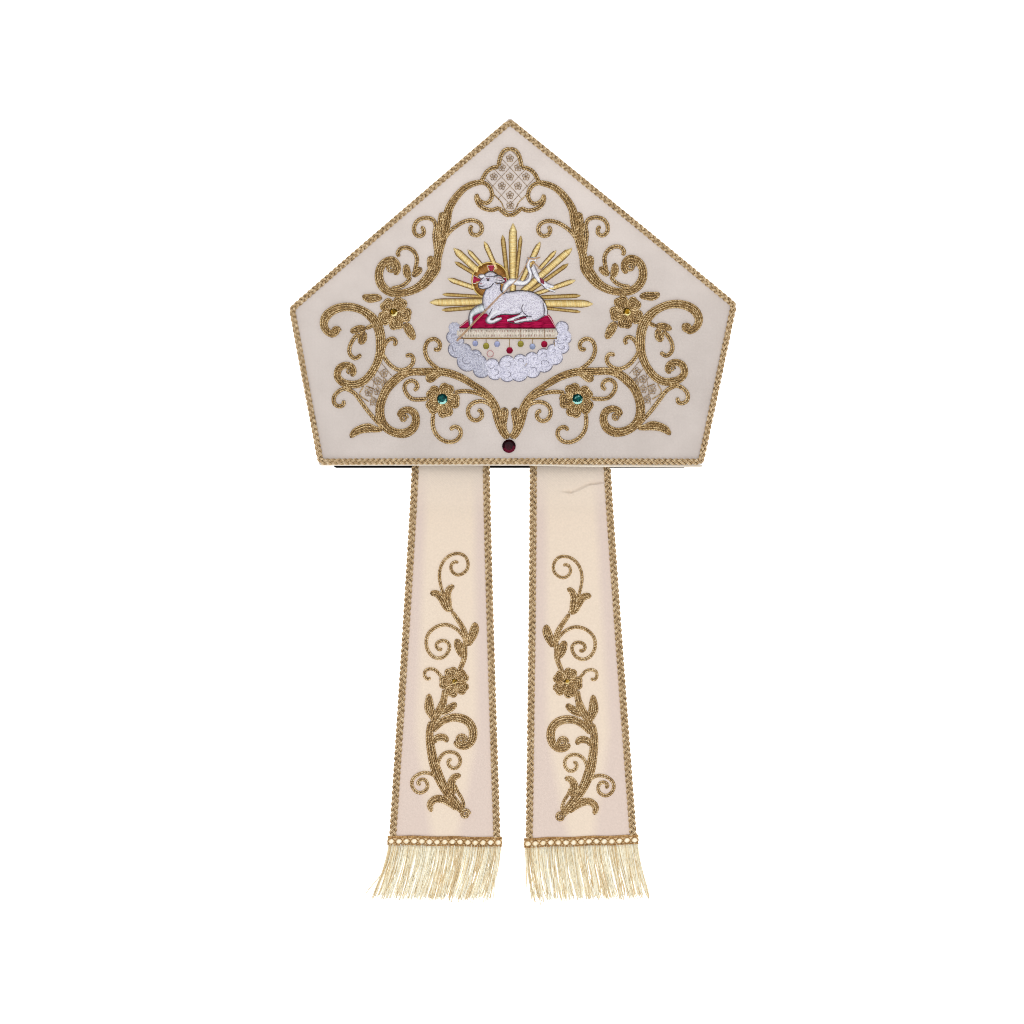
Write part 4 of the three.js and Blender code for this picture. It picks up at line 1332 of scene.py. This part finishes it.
for x, y, r, colour in BALLS:
    hanger = [(x, 98.8), (x, (98.8 + y + r) / 2), (x, y + r * 0.8)]
    book.append(dome_pad(ring_about(x, y, r), (x, y), 0.9, colour, rings=5))
    book.append(outline_cord(hanger, "#a58a63", size=0.25, height=0.35))
    for k in np.linspace(-0.75, 0.75, 6):
        reach = r * math.sqrt(1 - k * k) * 0.92
        line = np.stack([x + reach * t, np.full(6, y + k * r)], 1)
        dome = 0.35 + 0.75 * np.sqrt(np.clip(1 - k * k - (t * reach / r) ** 2, 0, 1))
        # Painted light on each ball: its upper rows of thread are lighter as a highlight band, and its
        # lower rows darker as painted shade.
        tone = linear(colour) * (1.35 if k > 0.2 else 0.8 if k < -0.4 else 1.0)
        book.append(thread(line, dome, (0.4, 0.26), np.clip(tone, 0, 1)))
book.append(outline_cord(ring_about(-15.3, 87, 2.5, count=9), "#c98e8e", size=0.28, height=0.4,
                         closed=True))
book.append(outline_cord([(34.7, 98.5), (34.7, 95), (34.7, 92)], "#a58a63", size=0.25, height=0.35))
emblem_piece("emblem_book", book, 0.6, 0.0, shine=0.12)

# The cloud: overlapping lobes of short silver-white stitches, greyer on the left, with a grey line
# round the whole and a curl drawn in two lobes of every three.
cloud = []
LOBES = [(-44, 100, 5.2), (-43.2, 107, 4.6), (-41.5, 90.5, 6.4), (-33, 81.5, 8), (-22, 75, 6.6),
         (-11.5, 73, 6.2), (-2, 71.5, 6.2), (7, 72.5, 7), (17.5, 74.5, 6.2), (26.5, 79.5, 6.8),
         (34.5, 85, 6.6), (40.5, 92.5, 5.4), (42.3, 100, 5.6), (40.5, 107.3, 4.8), (-2, 79.5, 6),
         (8, 81.5, 5), (17, 83, 5.2), (26, 86, 5), (33.5, 90, 4.4), (-35.5, 89.5, 5.4), (-27, 85, 5),
         (-14, 77.5, 5.6), (-24, 80.5, 5.6), (38.5, 96, 4.4), (-40, 96.5, 4.2)]
LEFT_WHITES = ("#c3c2d2", "#d3d2de", "#b3b3c4", "#e4e3ec", "#cbcddb")
RIGHT_WHITES = ("#dddcea", "#eceaf7", "#d2d1e1", "#c7c6d8", "#f4f3fc")
turn = np.linspace(0, 2 * math.pi, 26)[:-1]
circle = np.stack([np.cos(turn), np.sin(turn)], 1)
for order, (x, y, r) in enumerate(LOBES):
    middle = np.array([x, y])
    disc = middle + (r * (1 + 0.04 * np.sin(3 * turn + x)))[:, None] * circle
    pad, whites = ("#bcbccb", LEFT_WHITES) if x < -16 else ("#d9d7e6", RIGHT_WHITES)
    lift = 0.06 * (order % 4)
    cloud.append(dome_pad(disc, middle, 0.4, pad, rings=5, lift=lift))
    cloud.append(fill(disc, middle, 0.4, 0.9, whites, length=1.6, size=0.27, lift=lift))
    arc = middle + r * 1.01 * circle
    clear = np.ones(len(arc), bool)
    for ox, oy, other in LOBES:
        if (ox, oy) != (x, y):
            clear &= np.hypot(arc[:, 0] - ox, arc[:, 1] - oy) > other * 0.98
    for a, b in runs_where(np.concatenate([clear, clear]), 3)[-1:]:
        rim = np.concatenate([arc, arc])[a : min(b, a + 25)]
        cloud.append(outline_cord(rim, "#7d7a88", size=0.3, height=0.45))
    if order % 3 != 1:
        bend = x * 0.7 + np.linspace(0, 2.6 + 1.4 * (order % 2), 8)
        reach = r * 0.58 * np.linspace(1, 0.5, 8)
        curl = middle + np.stack([reach * np.cos(bend), 0.8 * reach * np.sin(bend)], 1)
        cloud.append(outline_cord(curl, "#9a97a6", size=0.24, height=0.72 + lift))
emblem_piece("emblem_cloud", cloud, 0.5, 0.0)

# The lamb: padded body, neck, head and legs filled with short white stitches and drawn in dark grey.
lamb = []
WOOL = ("#dad5e1", "#eae6f1", "#cac5d4", "#e2deea", "#d2cfde", "#f4f1f8")
BODY = np.array([(-19, 120), (-20.5, 124), (-21, 128), (-19.5, 132), (-15, 134), (-9, 134), (-6, 133.2),
                 (-2, 134.5), (2, 135), (6, 135.7), (12, 135.5), (17, 134.7), (21, 132.8), (24.5, 130),
                 (27, 126), (28, 121.5), (28, 118), (25, 115.8), (20.8, 113.2), (15.5, 113.4),
                 (11, 116.2), (8.6, 118), (3.3, 117.4), (-5.4, 117.6), (-10.6, 116.4), (-15, 114)])
NECK = np.array([(-20.7, 126), (-20.6, 132), (-18.5, 137), (-17, 138), (-14, 141), (-7.5, 141.5),
                 (-7.2, 137), (-5, 133.5), (-4, 128), (-10, 122), (-17, 121)])
HEAD = np.array([(-24.6, 140.8), (-24, 138.4), (-21.5, 137.4), (-17, 138), (-13, 139.5), (-10, 142),
                 (-9.3, 147.6), (-13, 150.3), (-16.5, 150.4), (-19.7, 148.2), (-20.5, 146.5),
                 (-23, 143.5)])
shapes = ((BODY, (5, 124.5), 0.8, 0.92), (NECK, (-12.5, 131), 0.85, 0.828),
          (HEAD, (-16.5, 143.5), 0.7, 0.5704))
for outline, middle, height, spacing in shapes:
    lamb.append(dome_pad(outline, middle, height, "#dddae4", lift=1.0))
    lamb.append(fill(outline, middle, height, spacing, WOOL, length=1.4, size=0.24, lift=1.0))


def limb(a, b, colours, base, dome=0.7):
    """A leg or an ear, satin stitched from one edge across to the other."""
    a, b = [smooth_line(edge, 0.7)[:, :2] for edge in (a, b)]
    return stitches(a, b, 0.45, dome, colours, base=base, size=0.32)


PALE = ("#e2dfe8", "#f6f5f8")
# Colours, height above the cloth, and the two edges of each leg and ear.
LIMBS = [
    (("#ccd6d8", "#eef0f4"), 0.95,
     [(-20.4, 126.2), (-27.1, 122.9), (-30.6, 119.3), (-31.6, 114), (-31, 108.8)],
     [(-19.4, 119.6), (-25.4, 118), (-28.9, 115.8), (-28.8, 111.4), (-29.2, 108.9)]),
    (PALE, 1.15,
     [(-13.2, 122), (-16, 117), (-18.4, 113), (-17, 110.8), (-13.5, 110.7), (-9.7, 112.3), (-6.5, 114)],
     [(-7, 119), (-11.5, 117.5), (-14.2, 115), (-14.6, 113.6), (-13, 113.4), (-10.5, 114.8), (-7, 115.2)]),
    (PALE, 1.15, [(9.6, 118.6), (3.5, 115.8), (-1.9, 113.9)], [(11.2, 116.5), (4.2, 113.2), (-1.7, 112.1)]),
    (PALE, 1.15, [(17, 115.6), (10.5, 114.3), (3.3, 112.4)], [(17, 112.6), (10.3, 112), (4.4, 110.7)]),
    (PALE, 1.30, [(25.9, 126), (27.2, 121), (27, 117.4)], [(27.6, 126), (29, 121), (28.6, 116.8)]),
    (("#d9d2dd", "#f3f1f5"), 1.70,
     [(-12.5, 146.9), (-8, 147.6), (-3.8, 143.6)], [(-12, 142.6), (-7, 141.9), (-3.9, 143.4)]),
    (PALE, 1.40,
     [(-20, 148.8), (-22.6, 148.6), (-24.3, 147.6)], [(-20, 146.8), (-21.8, 145.2), (-23.8, 146.9)]),
]
for colours, base, a, b in LIMBS:
    lamb += limb(a, b, colours, base)
INK = "#3b3338"
SOFT_INK = "#665e68"
DRAWN = [
    (INK, 0.3, 1.0, [(-24.6, 140.6), (-24.1, 138.4), (-21.5, 137.3), (-17, 137.9), (-14.5, 139.5),
                     (-12.6, 141.9)]),
    (INK, 0.28, 1.15, [(-24.1, 139.6), (-22, 139.3), (-20, 139.7)]),
    (SOFT_INK, 0.3, 0.9, [(-20.5, 146.5), (-23, 143.5), (-24.7, 141)]),
    (SOFT_INK, 0.28, 1.5, [(-19.7, 147.6), (-16.5, 146.8), (-13, 147.2), (-9.5, 148)]),
    (INK, 0.3, 0.8, [(-20, 148.4), (-16.5, 150.8), (-13, 150.8), (-9.4, 148.3)]),
    (SOFT_INK, 0.34, 0.7, [(-18.5, 137.3), (-20.6, 132), (-21.2, 128), (-20.7, 124), (-19, 119.8)]),
    (INK, 0.34, 0.7, [(-7.3, 140.6), (-7.4, 137), (-5.4, 133.7)]),
    (INK, 0.34, 0.45, [(-6, 133.4), (-2, 134.8), (2, 135.4), (6, 136), (12, 135.9), (17, 135.1),
                       (21.2, 133.2), (24.8, 130.3), (27.4, 126.2), (28.7, 121.5), (29, 117.6)]),
    (SOFT_INK, 0.3, 0.5, [(28.6, 117), (25, 115.5), (20.8, 112.9), (15.5, 112.2), (10.3, 111.7),
                          (6, 110.3), (3.3, 111.2)]),
    (SOFT_INK, 0.28, 1.3, [(10.3, 125.4), (9.2, 122.8), (9.6, 120), (11.2, 118.2), (13.8, 116.2),
                           (17, 115.8)]),
    (INK, 0.34, 0.8, [(-16, 113.4), (-12.6, 114.6), (-9.6, 116.6), (-5.4, 117.4), (3.3, 117.3),
                      (8, 118.6), (10, 120)]),
    (SOFT_INK, 0.3, 1.0, [(-20.4, 119.4), (-25.4, 117.7), (-28.6, 115.4), (-28.5, 111.4)]),
    (SOFT_INK, 0.3, 0.7, [(-20.6, 126.4), (-27.3, 123.2), (-30.9, 119.4), (-32, 114), (-31.4, 108.8)]),
    ("#241a1c", 0.55, 0.9, [(-31, 108.4), (-30.2, 106.9), (-29.2, 106.1)]),
    (SOFT_INK, 0.3, 1.2, [(-13.6, 122.4), (-16.4, 117), (-18.8, 113.2), (-17.8, 110.9), (-14.1, 110.1),
                          (-9.7, 111.9), (-6, 113.8)]),
    ("#4a3438", 0.4, 1.0, [(-1.6, 112), (3.2, 110.6), (5, 110.2)]),
    ("#3a2228", 0.4, 0.8, [(2.8, 113.6), (8, 115.2), (14, 116)]),
    (SOFT_INK, 0.3, 1.5, [(25.6, 126.2), (26.6, 121.4), (26.2, 117)]),
    (INK, 0.3, 1.9, [(-12.4, 147.1), (-8, 147.9), (-3.6, 143.6)]),
    (INK, 0.26, 2.0, [(-11.5, 144.3), (-8, 144), (-5, 143.3)]),
    (INK, 0.3, 1.6, [(-12, 142.3), (-7, 141.6), (-3.8, 143.2)]),
    ("#a8606c", 0.3, 1.2, [(-23.6, 141.6), (-22.4, 141.2), (-21.4, 141.9)]),
    ("#8c4a56", 0.26, 1.25, [(-18.6, 145.4), (-17, 145.7), (-15.4, 144.9)]),
    ("#b98b94", 0.3, 2.05, [(-10.5, 145.6), (-8, 145.9), (-6, 144.7)]),
    (SOFT_INK, 0.26, 1.2, [(-20.4, 148.9), (-22.8, 148.8), (-24.5, 147.6), (-22, 144.9), (-20.6, 146.3)]),
]
lamb += drawn(DRAWN, wider=1.15, lift=0.95)
eye, nose = (-17, 144.3), (-24.2, 140.4)
lamb.append(dome_pad(ring_about(*eye, 1.7, 1.05, count=15), eye, 1.3, "#2a2024", rings=4, lift=1.2))
lamb.append(dome_pad(ring_about(*nose, 0.7, 0.55, count=15), nose, 0.8, "#5a474c", rings=4, lift=1.0))
emblem_piece("emblem_lamb", lamb, 0.55, 0.0)

# The staff in rose gold with its small cross and knot, and the white ribbon that flies from it.
ROSE = "#c79f78"
staff = drawn([
    (ROSE, 0.36, 2.1, [(-41, 96.5), (-29.5, 108.9), (-18, 120.9), (-6, 133.3), (6, 145.5), (13, 157),
                       (15, 161)]),
    (ROSE, 0.3, 2.1, [(-41.6, 97.1), (-30.1, 109.5), (-18.6, 121.5), (-6.6, 133.9)]),
    (ROSE, 0.55, 2.1, [(13.5, 161.6), (18, 160.6), (23.5, 162)]),
    (ROSE, 0.4, 2.1, [(17, 158.5), (20, 156.5), (25, 151.5)]),
])
RIBBON = [(-4.5, 134.5), (-3.5, 139), (-1, 142), (2, 143.3), (6, 142.3), (11, 142), (15, 145),
          (16, 149.5), (14.5, 153.5), (14, 157), (15.5, 160), (20, 160.5)]
line = smooth_line(RIBBON, 0.6)[:, :2]
wide = 1.5 + 0.5 * np.sin(np.linspace(0, 2.2 * math.pi, len(line)))
edges = offset_line(line, wide), offset_line(line, -wide)
staff += stitches(*edges, 0.42, 0.5, ("#e4e2e8", "#fbfbfc"), base=0.9)
for sign in (-1, 1):
    staff.append(outline_cord(offset_line(line, sign * (wide + 0.15))[::5], "#8d8794", size=0.28,
                              height=0.95))
upper = smooth_line([(19, 156), (20.8, 151.5), (22.6, 147.6), (26, 144.2), (30, 141.6), (34.5, 139.8)],
                    0.7)[:, :2]
lower = smooth_line([(16.4, 153), (17.8, 149), (20, 145), (24, 141.2), (28.4, 138.6), (32.2, 138.2)],
                    0.7)[:, :2]
SATIN = ("#dddbe3", "#f7f7fa")
staff += stitches(upper, lower, 0.42, 0.4, SATIN, base=0.75)
staff.append(outline_cord(upper[::4], "#8d8794", size=0.28, height=0.85))
staff.append(outline_cord(lower[::4], "#6f6a76", size=0.3, height=0.85))
staff += quad_fill(((22.8, 146), (23.6, 142.6), (26.8, 141.2), (26.4, 143.6)), ("#7c1233", "#93274a"),
                   base=1.2)
staff += limb([(27.5, 139.8), (31, 138), (35.4, 135.4)], [(25, 140.4), (28.6, 137.2), (34.6, 135)], SATIN,
              0.6, dome=0.3)
staff.append(outline_cord([(25, 140.2), (28.6, 137), (35, 134.9)], "#6f6a76", size=0.28, height=0.85))
staff.append(dome_pad(ring_about(18, 158.2, 1.5, count=15), (18, 158.2), 2.2, "#c9a046", rings=4))
emblem_piece("emblem_staff", staff, 0.45, 0.1)

# ================================================================ lappet vines
# The same couched cord climbing each lappet: charted on the left one, and turned over about the
# lappet's own middle line for the right one.
VINE_STEMS = [
    [(-62.5, -100, 2.5), (-58, -100, 4), (-54, -103, 5), (-50.5, -109, 5), (-48, -113.5, 3.4)],
    [(-43.5, -94, 2), (-47, -96, 3.5), (-49, -101, 4.5), (-48.5, -107, 4.6), (-47.5, -113, 3.4)],
    [(-45.5, -114, 2), (-42, -119, 2.4), (-38, -125, 2.8), (-35.5, -130, 3), (-34.5, -135, 3),
     (-35.5, -143, 3), (-35.5, -149, 3), (-36.5, -153, 2.8), (-38.5, -158, 2.6), (-40, -162, 2.4)],
    [(-27.5, -122.5, 1.6), (-27.5, -127, 5.5), (-29, -132, 6), (-31.5, -137, 5), (-33, -141, 3)],
    [(-42, -135.5, 2.5), (-40.5, -140, 5.5), (-38.7, -145, 5.5), (-36.5, -150, 3)],
    [(-50.5, -175, 4), (-51.5, -182, 4), (-53.5, -189, 5.5), (-57, -195, 5), (-60.5, -202, 4)],
    [(-42, -185.5, 2.5), (-45, -188.5, 4.5), (-49, -191, 5), (-54, -194, 3)],
    [(-63.3, -178.5, 1.6), (-63.3, -184, 5), (-63, -190, 6.5), (-61, -195, 5), (-60, -199, 3)],
    [(-61, -200, 4), (-62.5, -206, 4.5), (-62.8, -213, 5), (-62, -220, 5.5), (-60.8, -227, 6),
     (-59.5, -233, 6.4), (-57.5, -239, 7), (-55, -245, 6.4), (-52, -251, 6), (-48, -257, 5.8),
     (-44, -262, 5.4), (-40, -267, 5), (-37, -271, 4)],
    [(-60.5, -208, 3), (-57, -203.5, 4), (-52, -199.5, 4.4), (-46, -197.3, 5), (-40, -197.3, 5.5),
     (-34, -199.5, 5.5), (-30, -204, 5.5), (-28.8, -210, 5.5), (-30.5, -216, 5), (-35, -219.5, 4.4),
     (-40, -219, 3.6), (-43.5, -215.5, 2.8)],
    [(-59.5, -217.5, 2.5), (-58.5, -214, 3.5), (-55, -212.5, 4.5), (-51, -213, 4), (-48.8, -216.5, 2)],
    [(-45, -258, 5), (-46, -252, 5.5), (-45.5, -247, 5), (-43, -243.5, 4), (-38.3, -242.2, 2)],
    [(-41, -268.5, 4), (-47, -264, 4.5), (-53, -261, 5), (-58.5, -261, 4.5), (-62.5, -265, 4),
     (-61.4, -271, 2)],
]
VINE_TENDRILS = [
    ([(-52, -103), (-53, -98), (-54.5, -92), (-55.2, -86), (-54.3, -80), (-52, -75), (-48, -71),
      (-43, -69), (-38, -69.3), (-34.5, -72), (-32.8, -76.5), (-33.5, -81), (-37, -84.5), (-41, -85.5),
      (-44.7, -83.5), (-46.2, -80), (-45, -76.5), (-42.5, -75.3), (-40.5, -76)], 2.2),
    ([(-35, -137), (-37, -133), (-40.5, -129), (-45, -126), (-50, -124.5), (-56, -125.5), (-61, -128.5),
      (-64.5, -133), (-65.5, -139), (-64, -145), (-60, -149.5), (-55, -150.7), (-50.5, -148.5),
      (-47.7, -144), (-47.5, -140.5), (-50, -137.5), (-53.5, -137), (-57, -139), (-57.3, -142),
      (-55, -144), (-53.2, -143)], 2.5),
    ([(-53, -166), (-55.5, -163), (-58.5, -160), (-62.5, -159), (-66, -160.5), (-66.8, -164),
      (-65, -166.8), (-62, -166.3)], 2.3),
    ([(-56.5, -238), (-56, -232), (-54, -227.5), (-50.5, -224.7), (-46.5, -224), (-42, -225.3),
      (-39.2, -229), (-39.2, -233), (-42, -236.5), (-45.5, -236.5), (-48, -234), (-48, -231),
      (-45.8, -229.6)], 2.5),
    ([(-59, -243), (-62, -241), (-67, -240.3), (-72, -241.8), (-76, -245.5), (-76.7, -250), (-74, -254.5),
      (-70, -256), (-65.5, -253.5), (-64.5, -249.7), (-66.5, -246), (-69.5, -245.6), (-72, -248.2),
      (-70.2, -250)], 2.6),
    ([(-43, -250), (-41, -255), (-38, -260), (-36.3, -265), (-36.5, -268)], 2.4),
    ([(-51, -111.5), (-48, -113.4), (-44.5, -112.2)], 2.2),
]


def to_lappet(side, rows):
    """Charted rows put on their own lappet. The right vine is the left one turned over, set a little
    lower but for its flower, and leaning out below it."""
    rows = np.array(rows, float)
    if side == "right":
        x, y = rows[:, 0], rows[:, 1]
        rows[:, 0] = 1.2 - x + 3.3 * np.clip((-y - 165) / 80, 0, 1)
        rows[:, 1] = y - 2.2 + 1.6 * np.exp(-(((y + 165) / 35) ** 2))
    rows[:, 1] -= 0.4
    return rows


on_vine = laid_at(LAPPET_THICK + 0.25)
VINE_GOLD = gold_thread("vine_gold_cord", "#5e4320", "#ab8753", "#f1dab0", roughness=0.42, metal=0.38)
for side in LAPPETS:
    parts = [part for rows in VINE_STEMS for part in stem(to_lappet(side, rows), on_vine)]
    for rows, width in VINE_TENDRILS:
        parts += tendril(to_lappet(side, rows), on_vine, width=width + 0.45)
    for x, y, radius, first in to_lappet(side, [(-43.5, -169.5, 12.6, 108.0)]):
        parts += flower(x, y, radius, first if side == "left" else 180 - first, on_vine)
    for x, y, radius in to_lappet(side, [(-38, -214.5, 5.4), (-35, -272.5, 4.9)]):
        parts += knob(x, y, radius, on_vine)
    dress(joined(f"lappet_{side}_vine", parts), VINE_GOLD)

# ================================================================ stones
# Flat-backed glass stones in their own colours, glued and sewn at the flowers' middles and at the
# foot of the front. Each is foiled behind, and the light that comes back out of its facets is
# painted into their colour: painted highlights on the facets that face down the frame, painted shade
# on the rest and the table, and the glass's own reflection turned almost off.
# Each glass: its painted shade, its middle colour and its painted highlight.
GLASS = {
    "ruby": ("#1e0309", "#3c0816", "#651a2e"),
    "emerald": ("#043030", "#0a5f5a", "#b4f2ea"),
    "topaz": ("#4a370c", "#b08420", "#fff4b4"),
}
for cut, (deep, middle, bright) in GLASS.items():
    material, add, shade = new_material(f"{cut}_glass")
    flat = add("NewGeometry").outputs["True Normal"]
    # Painted light: each facet's colour runs from painted shade to painted highlight by how far it faces
    # down the frame, plus a random cell.
    towards = add("VectorMath", {0: flat, 1: (0.25, -0.85, 0.28)},
                  operation="DOT_PRODUCT").outputs["Value"]
    place = add("TexCoord").outputs["Object"]
    depth = add("TexVoronoi", {"Vector": place, "Scale": 650.0})
    cell = add("SeparateColor", {"Color": depth.outputs["Color"]}).outputs["Red"]
    painted_facet_light = add("Math", {0: cell, 1: 0.42, 2: towards}, operation="MULTIPLY_ADD").outputs[0]
    shade({"Base Color": ramp(add, painted_facet_light, (0.30, deep), (0.60, middle), (0.86, bright)),
           "Roughness": 0.12, "Specular IOR Level": 0.03})
    for name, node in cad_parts.items():
        if name.startswith(cut) or (cut == "topaz" and name.startswith("lappet_stone")):
            node.data.materials.clear()
            node.data.materials.append(material)
            node.data.polygons.foreach_set("use_smooth", np.zeros(len(node.data.polygons), bool))

# ================================================================ floor and light
# A white studio table under a wide soft light overhead, with a lower, softer one filling in from
# the fringes' side.
floor_mesh = bpy.data.meshes.new("floor")
floor_mesh.from_pydata([(-4, -4, -0.0002), (4, -4, -0.0002), (4, 4, -0.0002), (-4, 4, -0.0002)], [],
                       [(0, 1, 2, 3)])
floor = bpy.data.objects.new("floor", floor_mesh)
bpy.context.scene.collection.objects.link(floor)
white, add, shade = new_material("white_table")
speck = add("TexNoise", {"Vector": add("TexCoord").outputs["Object"], "Scale": 3.0}).outputs["Fac"]
# The table glows as well as reflecting: painted light that fills in the shadows cast on it and lights the
# mitre a little from below.
shade({"Base Color": ramp(add, speck, (0.0, "#fbfbfb"), (1.0, "#ffffff")),
       "Roughness": 0.9, "Specular IOR Level": 0.0,
       "Emission Color": (1.0, 1.0, 1.0, 1.0), "Emission Strength": 0.75})
floor_mesh.materials.append(white)

world = bpy.data.worlds.new("studio")
bpy.context.scene.world = world
world.use_nodes = True
background = world.node_tree.nodes["Background"]
background.inputs["Color"].default_value = (1.0, 1.0, 1.0, 1.0)
background.inputs["Strength"].default_value = 0.5


def softbox(name, location, size, power):
    """A square area light aimed at the mitre."""
    data = bpy.data.lights.new(name, "AREA")
    data.size = size
    data.energy = power
    light = bpy.data.objects.new(name, data)
    bpy.context.scene.collection.objects.link(light)
    light.location = location
    light.rotation_euler = (-Vector(location)).to_track_quat("-Z", "Y").to_euler()


softbox("key", (-0.12, 0.1, 2.63), 1.3, 31.0)
softbox("fill", (0.35, -1.9, 1.6), 1.6, 13.0)
